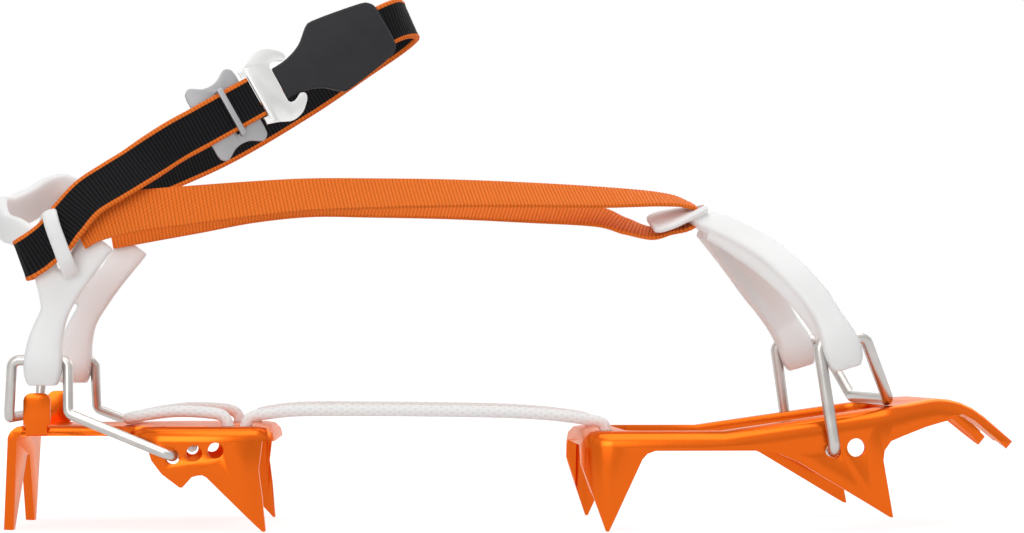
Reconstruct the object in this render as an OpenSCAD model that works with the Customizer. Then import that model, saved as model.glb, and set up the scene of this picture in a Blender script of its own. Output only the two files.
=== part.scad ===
// Strap-on mountaineering crampon: two bent sheet frames with ground points, joined by a lacing cord,
// with wire bails, flexible cages and webbing. Toe towards +X, left side towards +Y, up is +Z.

/* [Sheet metal] */
// Thickness of the toe frame's sheet
toe_sheet = 3; // [2.4:0.1:3.4]
// Thickness of the heel frame's sheet
heel_sheet = 2.7; // [2.2:0.1:3.2]
// Outside radius of the sheet's bends
bend_radius = 4.5; // [4:0.1:5.5]
// Outside radius of the upright corners that end in points
corner_radius = 9; // [7:0.5:11]
// Thickness left at the tip of a ground point
tip_land = 0.8; // [0.5:0.1:1.2]

/* [Toe frame] */
// Width over the side flanges
toe_width = 90; // [84:1:96]
// Rear face of the toe frame
toe_rear = 23; // [22:0.5:25]
// Height of the deck over the ground at the rear
toe_height = 30; // [28:0.5:32]
// Where the deck starts to rise towards the toe
rise_start = 66; // [62:1:70]
// Angle of the rising deck
rise_angle = 8.2; // [6:0.2:10]
// Length of the front points, from the start of their curve
point_length = 28; // [26:0.5:30]
// Radius of that curve
crest_radius = 24; // [22:1:28]
// Slope of the front points
point_slope = 40; // [34:1:44]
// Reach of the front points
toe_reach = 159; // [156:1:162]
// Half width over the two front points where they leave the deck
point_half = 26; // [24:0.5:28]
// Half width of the gap between the front points
fork_half = 13; // [11:0.5:14]
// Depth of the side flange along the rails, from the ground
rail_bottom = 24.2; // [23:0.2:25]
// Tip of the rear corner point along X
rear_tip = 30.3; // [29.5:0.1:31.5]
// Distance of the side point's tip behind the front points' ends
side_back = 42; // [40:0.5:45]
// Height of the side point's tip
side_tip_height = 4; // [0:0.5:6]
// Length of the cross web behind the central opening
web_length = 14; // [13:0.5:16]
// Deck left between the central opening and the front points' ends
nose_length = 38; // [36:1:41]
// Half width of the central opening at its rear end
opening_half = 36; // [34:0.5:37]

/* [Heel frame] */
// Width over the side flanges
heel_width = 86; // [82:1:90]
// Front face of the heel frame
heel_front = -70; // [-72:0.5:-68]
// Rear end of the deck, where it turns down
heel_rear = -151; // [-152:0.5:-150]
// Height of the deck over the ground
heel_height = 31.5; // [30:0.5:33]
// Half width of the deck at the rear
heel_half = 31; // [29:0.5:33]
// Tip of the side point along X
heel_tip = -72.6; // [-74:0.2:-72]
// How far the rear spikes lean back
spike_lean = 1.2; // [0:0.2:4]
// Width of a rear spike at its tip
spike_tip = 5; // [4:0.5:7]
// Length of the upright heel tabs along X
tab_length = 8; // [6:0.5:9]
// Height of the heel tabs over the deck
tab_height = 10; // [8:0.5:11]

/* [Bails] */
// Diameter of the front bail's wire
front_wire = 3.6; // [3.2:0.1:4.2]
// Distance of the front bail hole behind the front points' ends
pivot_back = 60.3; // [59:0.1:62]
// Height of the front bail hole
front_pivot_z = 24.1; // [23.5:0.1:25]
// Spare front hole, forward of the pivot hole
front_spare = 7; // [6.4:0.2:8]
// Diameter of the spare front hole
front_spare_d = 5.6; // [5:0.1:6]
// Diameter of the heel bail's wire
heel_wire = 3.1; // [2.8:0.1:3.4]
// Heel bail hole along X
heel_pivot_x = -100.2; // [-101:0.1:-99.5]
// Height of the heel bail hole
heel_pivot_z = 22.8; // [22:0.1:24]
// Pitch of the spare heel holes
heel_spare = 6.4; // [6.2:0.1:7]
// Diameter of the spare heel holes
heel_spare_d = 4.8; // [4:0.1:5]
// Play of a bail's wire in its hole
bail_play = 1.1; // [0.8:0.1:1.4]
// Room between a bail's leg and the flange beside it
leg_room = 1.2; // [1:0.1:2]
// Room between a wire and the cage that it runs through
sleeve_clear = 0.1; // [0.05:0.05:0.2]

/* [Soft goods] */
// Diameter of the lacing cord
cord_d = 3.6; // [3:0.1:3.9]
// Room round the cord in its holes
cord_clear = 0.4; // [0.3:0.1:0.6]
// Width of the webbing
web_width = 13; // [11:0.5:14]
// Thickness of the webbing
web_thick = 1.4; // [1:0.1:1.8]
// Thickness of the cages' arms
cage_thick = 3.6; // [3:0.1:4]
// Width of the toe cage's arms
toe_arm = 10; // [8:0.5:12]
// Width of the heel cage's arms
heel_arm = 11; // [9:0.5:13]

/* [Buckle] */
// Thickness of the buckle's plates
buckle_sheet = 1.6; // [1.2:0.1:2]
// Half width of the buckle over its wings
buckle_half = 12.4; // [11:0.2:13]
// Length of the slider along the strap
slider_length = 17; // [15:0.5:18]
// Thickness of the pull tab
tab_thick = 2.4; // [2:0.1:3]
// Half width of the pull tab's body
tab_half = 12; // [11:0.2:13]
// Length of the pull tab from the hook
tab_reach = 36; // [30:1:40]

/* [Hidden] */
$fn = 48;

metal_orange = [0.91, 0.38, 0.08];
wire_grey = [0.66, 0.65, 0.63];
cage_white = [0.93, 0.93, 0.92];
cord_white = [0.96, 0.96, 0.95];
web_orange = [0.93, 0.42, 0.1];
web_black = [0.13, 0.13, 0.14];
tab_black = [0.2, 0.2, 0.22];

// Below every ground point, and above every frame
under = -3;
over = 70;
arc_steps = 4;
bend_steps = 5;

// Vectors and curves
function unit(v) = v / norm(v);
function mirrored(p) = [p[0], -p[1], p[2]];
function reversed(list) = [for (i = [len(list) - 1 : -1 : 0]) list[i]];
function ease(t) = t < 0 ? 0 : t > 1 ? 1 : t * t * (3 - 2 * t);
function pick(list, i) = list[max(0, min(len(list) - 1, i))];
function spline(a, b, c, d, t) =
    0.5 * (2 * b + (c - a) * t + (2 * a - 5 * b + 4 * c - d) * t * t + (3 * b - a - 3 * c + d) * t * t * t);
function smooth(list, steps) = [
    for (i = [0 : len(list) - 2]) for (k = [0 : steps - 1])
        spline(pick(list, i - 1), list[i], list[i + 1], pick(list, i + 2), k / steps),
    list[len(list) - 1]];
function tangent(path, i) = unit(pick(path, i + 1) - pick(path, i - 1));

// One closed skin over rings of equally many points
module skin(rings) {
    count = len(rings[0]);
    last = len(rings) - 1;
    polyhedron(
        points = [for (ring = rings) each ring],
        faces = [
            [for (j = [0 : count - 1]) j],
            [for (j = [count - 1 : -1 : 0]) last * count + j],
            for (i = [0 : last - 1]) for (j = [0 : count - 1]) let (
                a = i * count + j,
                b = i * count + (j + 1) % count)
                each [[a, a + count, b + count], [a, b + count, b]]],
        convexity = 8);
}

// A round cord along a path
module cord_along(path, d, sides = 8)
    skin([for (i = [0 : len(path) - 1]) let (
        t = tangent(path, i),
        side = unit(cross(abs(t[2]) > 0.9 ? [0, 1, 0] : [0, 0, 1], t)),
        top = cross(t, side))
        [for (k = [0 : sides - 1]) let (a = 360 * k / sides)
            path[i] + d / 2 * (cos(a) * side + sin(a) * top)]]);

// A flat band along a path, with the direction of its width given at each point
module band_along(path, across, width, thick)
    skin([for (i = [0 : len(path) - 1]) let (
        t = tangent(path, i),
        s = unit(across[i] - (across[i] * t) * t),
        n = cross(t, s),
        w = s * (is_list(width) ? width[i] : width) / 2,
        h = n * thick / 2)
        [path[i] + w + h, path[i] - w + h, path[i] - w - h, path[i] + w - h]]);

// A wire with round bends through the given corners. It swells a little in its bends.
bend_swell = 0.1;
bend_lap = 0.3;
module wire_along(corners, d, bend) {
    last = len(corners) - 1;
    turns = [for (i = [1 : last - 1]) let (
        a = unit(corners[i] - corners[i - 1]),
        b = unit(corners[i + 1] - corners[i]))
        [a, b, acos(a * b)]];
    function set_back(i) = i < 1 || i >= last ? 0 : bend * tan(turns[i - 1][2] / 2);
    for (i = [0 : last - 1]) {
        a = unit(corners[i + 1] - corners[i]);
        p = corners[i] + a * (i > 0 ? set_back(i) - bend_lap : 0);
        q = corners[i + 1] - a * (i < last - 1 ? set_back(i + 1) - bend_lap : 0);
        rod_between(p, q, d);
    }
    for (i = [1 : last - 1]) {
        turn = turns[i - 1];
        start = corners[i] - turn[0] * set_back(i);
        axis = unit(cross(turn[0], turn[1]));
        inward = cross(axis, turn[0]);
        centre = start + inward * bend;
        out = -inward;
        multmatrix([
            [out[0], turn[0][0], axis[0], centre[0]],
            [out[1], turn[0][1], axis[1], centre[1]],
            [out[2], turn[0][2], axis[2], centre[2]],
            [0, 0, 0, 1]])
            rotate_extrude(angle = turn[2]) translate([bend, 0]) circle(d = d + bend_swell);
    }
}

module rod_between(p, q, d) {
    v = q - p;
    translate(p)
        rotate([0, acos(v[2] / norm(v)), atan2(v[1], v[0])])
            cylinder(d = d, h = norm(v));
}

// A cross section of a frame: flat deck, round bends and skirts down past the ground
function skirt_section(x, half, top, radius) = concat(
    [[x, half, under]],
    [for (k = [0 : bend_steps]) let (a = 90 * k / bend_steps)
        [x, half - radius + radius * cos(a), top - radius + radius * sin(a)]],
    [for (k = [0 : bend_steps]) let (a = 90 + 90 * k / bend_steps)
        [x, -half + radius + radius * cos(a), top - radius + radius * sin(a)]],
    [[x, -half, under]]);
// Fall of a rounded end, from its flat side, at a distance inside the end
function end_fall(inside, radius, wall) = inside >= radius ? wall
    : radius - sqrt(max(0, pow(radius - wall, 2) - pow(radius - inside, 2)));
// Distances inside a rounded end at which sections are taken
function end_steps(wall) = [for (k = [0 : arc_steps])
    corner_radius - (corner_radius - wall) * cos(90 * k / arc_steps)];
// A side outline across the whole width
module side_prism(outline)
    translate([0, toe_width, 0]) rotate([90, 0, 0]) linear_extrude(2 * toe_width) polygon(outline);
module cross_bore(x, z, d)
    translate([x, toe_width, z]) rotate([90, 0, 0]) cylinder(d = d, h = 2 * toe_width);

// Toe frame outlines
crest_start = toe_reach - point_length;
side_tip = toe_reach - side_back;
opening_end = toe_reach - nose_length;
front_pivot_x = toe_reach - pivot_back;
crest_height = toe_height + (crest_start - rise_start) * tan(rise_angle);
crest_x = crest_start + crest_radius * sin(rise_angle);
crest_z = crest_height - crest_radius * cos(rise_angle);
slope_x = crest_x + crest_radius * sin(point_slope);
slope_z = crest_z + crest_radius * cos(point_slope);
shoulder = side_tip - 5;
function crest_at(t) = crest_x + (slope_x - crest_x) * t;
function toe_top(x) = x < rise_start ? toe_height
    : x < crest_start ? toe_height + (x - rise_start) * tan(rise_angle)
    : x < slope_x ? crest_z + sqrt(pow(crest_radius, 2) - pow(x - crest_x, 2))
    : slope_z - (x - slope_x) * tan(point_slope);
function toe_drop(x) = x < rise_start ? 1
    : x < crest_start ? cos(rise_angle)
    : x < slope_x ? (toe_top(x) - crest_z) / crest_radius
    : cos(point_slope);
point_root = crest_x + 8;
point_tip_half = point_half - 3;
function toe_half(x) = x < point_root
    ? toe_width / 2 - (toe_width / 2 - point_half) * ease((x - shoulder) / (point_root - shoulder))
    : point_half - (point_half - point_tip_half) * (x - point_root) / (toe_reach - point_root);
toe_stations = [
    rise_start - 20, rise_start, (rise_start + shoulder) / 2,
    for (k = [0 : 3]) shoulder + 5 * k, crest_start,
    for (k = [0 : 4]) crest_at(k / 4), (slope_x + toe_reach) / 2, toe_reach + 4];
function toe_section(x, wall) = let (
    inside = x - toe_rear,
    half = toe_half(x) - end_fall(inside, corner_radius, wall),
    fall = inside < bend_radius ? end_fall(inside, bend_radius, wall) : wall / toe_drop(x))
    skirt_section(x, half, toe_top(x) - fall, max(bend_radius - wall, 0.5));
module toe_skin(wall)
    skin([
        for (d = end_steps(wall)) toe_section(toe_rear + d, wall),
        for (x = toe_stations) toe_section(x + (x > toe_reach ? wall : 0), wall)]);
web_front = toe_rear + web_length;
toe_outline = concat(
    [[toe_rear - 2, over], [toe_rear - 2, toe_height - bend_radius]],
    [[rear_tip - tip_land / 2, 0], [rear_tip + tip_land / 2, 0]],
    [[rear_tip + 10.5, rail_bottom - 2.6], [rear_tip + 12, rail_bottom - 0.9]],
    [[rear_tip + 14.5, rail_bottom]],
    [[side_tip - 39, rail_bottom], [side_tip - 34.5, rail_bottom - 1], [side_tip - 28.5, rail_bottom - 3.6]],
    [[side_tip - tip_land, side_tip_height], [side_tip, side_tip_height]],
    [[side_tip - 3, rail_bottom - 3], [side_tip - 2.6, rail_bottom], [side_tip - 0.5, rail_bottom + 2.8]],
    [[side_tip + 4, rail_bottom + 4.4], [side_tip + 12, rail_bottom + 6.8]],
    [[side_tip + 20, rail_bottom + 8.6]],
    [for (x = [crest_at(0.5), crest_at(0.75), slope_x, (slope_x + toe_reach) / 2, toe_reach + 5])
        [x, toe_top(x) - toe_sheet / toe_drop(x) - 0.3]],
    [[toe_reach + 5, over]]);
// Opening between the rails, with round corners
opening_front_half = 28;
opening_corner = 7;
module toe_opening() {
    front = opening_end - opening_corner;
    translate([0, 0, under])
        linear_extrude(over)
            for (side = [-1, 1])
                polygon(concat(
                    [[web_front, 0]],
                    [for (k = [0 : arc_steps]) let (a = 90 * k / arc_steps)
                        [web_front + opening_corner * (1 - sin(90 - a)),
                        side * (opening_half - opening_corner + opening_corner * sin(a))]],
                    [for (k = [0 : arc_steps]) let (a = 90 * k / arc_steps)
                        [front + opening_corner * sin(a),
                        side * (opening_front_half - opening_corner + opening_corner * cos(a))]],
                    [[opening_end, 0]]));
}
// Gap between the front points, with a round bottom
fork_start = crest_x + 6;
fork_splay = 4;
module toe_fork()
    translate([0, 0, under])
        linear_extrude(over) {
            translate([fork_start + fork_half, 0]) circle(fork_half);
            polygon([
                [fork_start + fork_half, fork_half], [toe_reach + 6, fork_half + fork_splay],
                [toe_reach + 6, -fork_half - fork_splay], [fork_start + fork_half, -fork_half]]);
        }
// Round ends of the front points, cut square to their slope
point_end = (point_tip_half - fork_half - fork_splay) / 2 + 0.4;
point_mid = (point_tip_half + fork_half + fork_splay) / 2;
end_depth = 12;
module toe_ends()
    for (side = [-1, 1])
        translate([toe_reach, side * point_mid, toe_top(toe_reach)])
            rotate([0, point_slope, 0])
                translate([-point_end, 0, -end_depth / 2])
                    difference() {
                        translate([0, -2 * point_end, 0]) cube([4 * point_end, 4 * point_end, end_depth]);
                        cylinder(r = point_end, h = end_depth);
                    }
// Wall between the corner points that is left away
gate_rise = 4;
module corner_gate(x, half, top, depth)
    translate([x, 0, 0])
        rotate([90, 0, 90])
            linear_extrude(depth)
                polygon([[-half, under], [-half + 6, top - gate_rise], [-half + 10, top],
                    [half - 10, top], [half - 6, top - gate_rise], [half, under]]);
// Cord holes in the cross web
cord_hole_x = toe_rear + 8;
cord_hole_y = 30;
module cord_bore(x, y)
    translate([x, y, under]) cylinder(d = cord_d + 2 * cord_clear, h = over);

module toe_frame()
    color(metal_orange)
        difference() {
            intersection() {
                difference() {
                    toe_skin(0);
                    toe_skin(toe_sheet);
                }
                side_prism(toe_outline);
            }
            toe_opening();
            toe_fork();
            toe_ends();
            corner_gate(toe_rear - 1, toe_width / 2 - corner_radius + 1, toe_height - bend_radius,
                corner_radius - toe_sheet + 1);
            cross_bore(front_pivot_x - 0.2, front_pivot_z - 0.3, front_wire + bail_play);
            cross_bore(front_pivot_x + front_spare, front_pivot_z + 1, front_spare_d);
            for (side = [-1, 1]) cord_bore(cord_hole_x, side * cord_hole_y);
        }

// Heel frame outlines
flare_start = -122;
flare_end = -104;
function heel_half_at(x) =
    heel_half + (heel_width / 2 - heel_half) * ease((x - flare_start) / (flare_end - flare_start));
heel_stations = [heel_rear + bend_radius - bend_lap, flare_start, -118, -115, -112, -109, flare_end, -90];
function heel_section(x, wall) = let (
    inside = heel_front - x,
    half = heel_half_at(x) - end_fall(inside, corner_radius, wall),
    fall = inside < bend_radius ? end_fall(inside, bend_radius, wall) : wall)
    skirt_section(x, half, heel_height - fall, max(bend_radius - wall, 0.5));
module heel_skin(wall)
    skin([
        for (x = heel_stations) heel_section(x - (x < flare_start ? wall : 0), wall),
        for (d = reversed(end_steps(wall))) heel_section(heel_front - d, wall)]);
heel_under = heel_height - heel_sheet - 0.3;
tooth_tip = heel_pivot_x + 2.5;
heel_outline = [
    [heel_rear - 9, over], [heel_rear - 9, heel_under], [flare_start + 4, heel_under],
    [heel_pivot_x - 10, heel_pivot_z + 4.6], [heel_pivot_x - 7.4, heel_pivot_z + 1.6],
    [heel_pivot_x - 6.4, heel_pivot_z - 1.4], [heel_pivot_x - 3.2, heel_pivot_z - 5.4],
    [tooth_tip - tip_land / 2, heel_pivot_z - 9.4], [tooth_tip + tip_land / 2, heel_pivot_z - 9.4],
    [tooth_tip + 3.2, heel_pivot_z - 6.3], [tooth_tip + 6, heel_pivot_z - 5.6],
    [tooth_tip + 7.6, heel_pivot_z - 6.4],
    [heel_tip - tip_land, 0], [heel_tip, 0], [heel_tip - 1, 11], [heel_tip - 2, 18.5],
    [heel_tip - 1, heel_height - bend_radius], [heel_front + 2, heel_height - bend_radius],
    [heel_front + 2, over]];
// Rear spikes: the deck turns down in a bend, a little thicker than the sheet, and splits in two
spike_top = heel_height - bend_radius;
spike_root = 3;
module heel_spikes() {
    translate([heel_rear + bend_radius, heel_half - 1, spike_top])
        rotate([90, 180, 0])
            rotate([0, 0, -90])
                rotate_extrude(angle = 90)
                    translate([bend_radius - heel_sheet - bend_swell / 2, 0])
                        square([heel_sheet + bend_swell, 2 * heel_half - 2]);
    translate([heel_rear, 0, spike_top])
        rotate([0, atan(spike_lean / spike_top), 0])
            rotate([90, 0, 90])
                linear_extrude(heel_sheet)
                    for (side = [-1, 1])
                        polygon([
                            [0, 0.6], [side * (heel_half - 1), 0.6], [side * (heel_half - 3), -spike_top],
                            [side * (heel_half - 3 - spike_tip), -spike_top], [side * spike_root, -5],
                            [0, -5]]);
}
// Upright tabs at the sides of the heel
tab_back = heel_rear + 4.8;
tab_round = 2.5;
tab_full = tab_height + heel_sheet;
module heel_tabs()
    for (side = [-1, 1])
        translate([tab_back, side * (heel_half - heel_sheet / 2) + heel_sheet / 2, heel_height - heel_sheet])
            rotate([90, 0, 0])
                linear_extrude(heel_sheet) {
                    translate([0.8, 0]) square([tab_length - 1.6, tab_height]);
                    translate([0, 3]) square([tab_length, tab_full - tab_round - 3]);
                    translate([tab_round, 3]) square([tab_length - 2 * tab_round, tab_full - 3]);
                    for (x = [tab_round, tab_length - tab_round])
                        translate([x, tab_full - tab_round]) circle(tab_round);
                }
// Lacing holes and slots in the heel deck
lace_mid = [-84, heel_width / 2 - 9];
lace_front = [-79, heel_width / 2 - 11];
slot_y = heel_width / 2 - 7;
slot_w = 2.4;
module heel_slots()
    for (side = [-1, 1]) for (span = [[-112, -107], [-103, -91]])
        translate([0, side * slot_y, heel_height - heel_sheet - 1])
            linear_extrude(heel_sheet + 2) {
                translate([span[0], -slot_w / 2]) square([span[1] - span[0], slot_w]);
                for (x = span) translate([x, 0]) circle(d = slot_w);
            }

module heel_frame()
    color(metal_orange)
        difference() {
            union() {
                intersection() {
                    difference() {
                        heel_skin(0);
                        heel_skin(heel_sheet);
                    }
                    side_prism(heel_outline);
                }
                heel_spikes();
                heel_tabs();
            }
            corner_gate(heel_front - corner_radius + heel_sheet, heel_width / 2 - corner_radius + 1,
                heel_height - bend_radius, corner_radius - heel_sheet + 1);
            cross_bore(heel_pivot_x, heel_pivot_z - 0.35, heel_wire + bail_play);
            for (k = [1, 2]) cross_bore(heel_pivot_x + k * heel_spare, heel_pivot_z + 0.8 * k, heel_spare_d);
            for (side = [-1, 1]) for (p = [lace_mid, lace_front]) cord_bore(p[0], side * p[1]);
            heel_slots();
        }

// Front bail: from a flange hole up, through the cage's sleeve, down to a bar across the deck, and back
front_leg_y = toe_width / 2 + leg_room + front_wire / 2;
front_bar_x = front_pivot_x + 18.8;
front_bar_z = toe_top(front_bar_x) + front_wire / 2 + 0.25;
toe_side = toe_width / 2;
front_half = [
    [front_pivot_x, toe_side - toe_sheet - 2, front_pivot_z],
    [front_pivot_x, front_leg_y, front_pivot_z],
    [front_pivot_x - 4.7, toe_side + 1, front_pivot_z + 32.9],
    [front_pivot_x + 9.8, toe_side - 1, front_pivot_z + 34.4],
    [front_bar_x, toe_side - 12, front_bar_z]];
front_corners = concat([for (p = front_half) mirrored(p)], reversed(front_half));
front_bend = 2.9;
module front_bail()
    color(wire_grey) wire_along(front_corners, front_wire, front_bend);

// Heel bail: the same, behind the heel tabs
heel_leg_y = heel_width / 2 + leg_room + heel_wire / 2;
heel_bar_x = tab_back - heel_wire / 2 - 2.05;
heel_bar_z = heel_height + heel_wire / 2 + 1.2;
heel_run_z = 51.5;
heel_half_wire = [
    [heel_pivot_x, heel_width / 2 - heel_sheet - 1.5, heel_pivot_z],
    [heel_pivot_x, heel_leg_y, heel_pivot_z],
    [-131.5, 41, 35.5],
    [-132, 38.5, heel_run_z],
    [-148.8, 37, heel_run_z],
    [heel_bar_x, 36, heel_bar_z]];
heel_corners = concat([for (p = heel_half_wire) mirrored(p)], reversed(heel_half_wire));
heel_bend = 2.3;
module heel_bail()
    color(wire_grey) wire_along(heel_corners, heel_wire, heel_bend);

// Toe cage: an arch that leans back from the two sleeves to the strap slot at its top
// Each row has X and Z from the bail's hole, and Y as a share of the frame's half width
arch_rows = [
    [2.3, -1.01, 32.9], [-0.7, -1.005, 39.9], [-5.5, -0.967, 46.9], [-11.2, -0.889, 53.9],
    [-17.1, -0.744, 60.4], [-23.5, -0.533, 65.9], [-29.7, -0.267, 70.3], [-34.7, 0, 73.1]];
function on_arch(row) = [front_pivot_x + row[0], row[1] * toe_side, front_pivot_z + row[2]];
arch_half = [for (row = arch_rows) on_arch(row)];
arch_last = len(arch_rows) - 1;
// The top leans towards the right: the right arm dips and the left arm rises, most at the top
arch_lean = [0, 0, 0, 0, 0.5, 1.1, 1.4];
toe_arch = concat(
    [for (i = [0 : arch_last - 1]) arch_half[i] - [0, 0, arch_lean[i] / 2]], [arch_half[arch_last]],
    [for (i = [arch_last - 1 : -1 : 0]) mirrored(arch_half[i]) + [0, 0, arch_lean[i]]]);
toe_across_half = [
    [1, 0, 0.1], [1, 0, 0.2], [0.95, 0.1, 0.35], [0.9, 0.15, 0.45], [0.9, 0.15, 0.45], [0.95, 0.1, 0.4],
    [1, 0.05, 0.35]];
toe_across = concat(toe_across_half, [[1, 0, 0.15]], [for (v = reversed(toe_across_half)) mirrored(v)]);
sleeve_length = 12;
toe_sleeve_d = 10;
lobe_d = 8.6;
lobe_drop = 5.6;
strap_slot = [-1.2, 3.4];
slot_half = web_width / 2 + 0.6;
tongue_thick = 2.6;
// The tongue's own lie: X along it, Z through it. It twists towards the right from its root to its tip.
tongue_mid = [front_pivot_x - 37.7, 0, front_pivot_z + 74.5];
tongue_tilt = 17;
tongue_rows = [
    [4, 20, 2], [0, 20, 8], [-5, 20, 14], [-9, 20, 17], [-12, 18.6, 18], [-13.3, 17, 18], [-14, 14, 18]];
function rolled(angle) = [0, cos(angle), sin(angle)];
module on_tongue()
    translate(tongue_mid) rotate([0, -tongue_tilt, 0]) children();
module strap_tongue()
    on_tongue()
        band_along([for (row = tongue_rows) [row[0], 0, 0]], [for (row = tongue_rows) rolled(row[2])],
            [for (row = tongue_rows) row[1]], tongue_thick);
// Way of the strap through the slot and back under the tongue
way_reach = 9;
way_roll = 8;
module strap_way()
    on_tongue() rotate([way_roll, 0, 0]) {
        translate([strap_slot[0], -slot_half, -way_reach])
            cube([strap_slot[1] - strap_slot[0], 2 * slot_half, 2 * way_reach]);
        translate([-way_reach, -slot_half, -way_reach])
            cube([way_reach + strap_slot[1], 2 * slot_half, way_reach - tongue_thick / 2 - 0.4]);
    }
module toe_cage()
    color(cage_white)
        difference() {
            union() {
                band_along(smooth(toe_arch, 2), smooth(toe_across, 2), toe_arm, cage_thick);
                for (side = [-1, 1])
                    translate([front_pivot_x - 3.1, side * (toe_side + 0.4), front_pivot_z + 33.2])
                        rotate([0, 84, 0])
                            rotate([0, 0, -side * 8]) {
                                cylinder(d = toe_sleeve_d, h = sleeve_length);
                                translate([lobe_drop, 0, 0]) cylinder(d = lobe_d, h = sleeve_length - 3);
                            }
                strap_tongue();
            }
            strap_way();
            wire_along(front_corners, front_wire + 2 * sleeve_clear, front_bend);
        }

// Heel cage: two forked legs on the bail, and a band round the back of the heel
leg_right = [
    [-139.3, -38.6, 47], [-138.9, -38.8, 56], [-136.3, -39, 64.8], [-133, -39, 71.8], [-129.2, -39, 78],
    [-125.6, -39, 83.8], [-122.4, -39, 88]];
leg_left = [
    [-138.8, 38.6, 47], [-138.4, 38.8, 56], [-135.4, 39, 64.8], [-131.2, 39, 72], [-126.6, 39, 79],
    [-122, 39.4, 85.5], [-119, 39.4, 89.4]];
leg_narrow = [0, 0.6, 2.4, 2.6, 2, 1, 1];
leg_width = [for (n = leg_narrow) heel_arm - n];
leg_across = [1, 0, 0.3];
back_right = [
    [-135.8, -39.2, 66], [-137.2, -39.2, 73], [-139.2, -39.2, 80], [-142.2, -38.6, 86.8],
    [-147.4, -33.6, 92.6], [-153.2, -21, 95.2]];
back_left = [
    [-156, 13, 98.6], [-152, 27, 101.4], [-146.5, 35.8, 105], [-140.6, 39, 105.2], [-137, 39.6, 96],
    [-135.6, 39.4, 82], [-135.4, 39.2, 70]];
back_path = concat(back_right, [[-156.6, -4, 97]], back_left);
back_across = concat(
    [[1, 0, 0.3], [1, 0, 0.35], [0.9, 0, 0.45], [0.6, 0, 0.75], [0.2, 0, 1], [0, 0, 1]],
    [[0, 0, 1]],
    [[0, 0, 1], [0.1, 0, 1], [0.3, 0, 1], [0.75, 0, 0.7], [1, 0, 0.1], [1, 0, 0], [1, 0, 0.1]]);
back_narrow = [3.2, 3.4, 3.4, 3.2, 1.6, 0.4, 0, 0, 0, 0.4, 1, 2, 2.4, 2.6];
back_width = [for (n = back_narrow) heel_arm - n];
module cage_leg(path)
    band_along(
        smooth(path, 2), [for (i = [0 : 2 * len(path) - 2]) leg_across], smooth(leg_width, 2), cage_thick);
heel_sleeve_d = 9;
module heel_cage()
    color(cage_white)
        difference() {
            union() {
                cage_leg(leg_right);
                cage_leg(leg_left);
                for (side = [-1, 1]) for (z = [heel_run_z - 3, heel_run_z])
                    translate([-145.6, side * 38, z])
                        rotate([0, 90, 0]) cylinder(d = heel_sleeve_d, h = sleeve_length - 0.4);
                band_along(smooth(back_path, 2), smooth(back_across, 2), smooth(back_width, 2), cage_thick);
                strap_bridge();
            }
            wire_along(heel_corners, heel_wire + 2 * sleeve_clear, heel_bend);
        }
// A bar from the band over the ankle strap to the right leg
bridge_path = [
    [-152, -27, 93], [-147.6, -36, 94.8], [-144, -41.9, 97], [-140.4, -45.9, 97], [-137.2, -46.9, 94],
    [-133.6, -46.9, 85.6], [-132, -46.4, 81.2], [-130.9, -43.4, 78], [-131, -39.8, 76.8]];
bridge_across = [
    [0, 0, 1], [0.1, 0, 1], [0.4, 0, 0.9], [0.75, 0, 0.65], [0.95, 0, 0.45], [1, 0, 0.42], [1, 0, 0.45],
    [1, 0, 0.45], [1, 0, 0.45]];
bridge_width = [10, 10, 9, 8, 6, 5, 5, 5, 5];
module strap_bridge()
    band_along(smooth(bridge_path, 2), smooth(bridge_across, 2), smooth(bridge_width, 2), 2.2);

// Lacing cord: a bight over the heel deck, through its holes, on to the toe frame's web and across under it
lift = heel_height + cord_d / 2 + 0.4;
below = heel_height - heel_sheet - cord_d / 2 - 0.6;
cross_run_z = toe_height - toe_sheet - cord_d / 2 - 0.5;
knot_drop = 2.6;
end_gap = 1;
cord_half = [
    [cord_hole_x, -end_gap / 2, cross_run_z - knot_drop], [cord_hole_x, -8, cross_run_z - knot_drop],
    [cord_hole_x, -18, cross_run_z - 0.6], [cord_hole_x, -27, cross_run_z - 0.4],
    [cord_hole_x, -29.5, cross_run_z + 0.7], [cord_hole_x, -30, toe_height - 0.6],
    [cord_hole_x - 1.2, -30, toe_height + 2.2], [cord_hole_x - 6, -30, toe_height + 3.4],
    [14, -30, 34.8], [0, -30, 35.6], [-20, -30.2, 36], [-40, -30.6, 36.2], [-62, -31, 36.2],
    [-72, 0.4 - lace_front[1], lift + 1.6], [-77.4, 0.1 - lace_front[1], lift + 0.4],
    [lace_front[0], -lace_front[1], heel_height - 0.6], [lace_front[0] - 0.8, -lace_front[1] - 0.2, below],
    [lace_mid[0] + 0.6, 0.2 - lace_mid[1], below], [lace_mid[0], -lace_mid[1], heel_height - 0.6],
    [lace_mid[0] - 1.6, 0.1 - lace_mid[1], lift + 0.8], [-91, 0.6 - lace_mid[1], lift + 2],
    [-100, 2 - lace_mid[1], lift + 2.3], [-108, 3.6 - lace_mid[1], lift + 1.4],
    [-113, 6.6 - lace_mid[1], lift + 0.5], [-115.2, 12 - lace_mid[1], lift], [-115.5, -12, lift]];
cord_path = concat(cord_half, [for (p = reversed(cord_half)) mirrored(p)]);
module link_cord()
    color(cord_white) cord_along(cord_path, cord_d);

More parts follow.
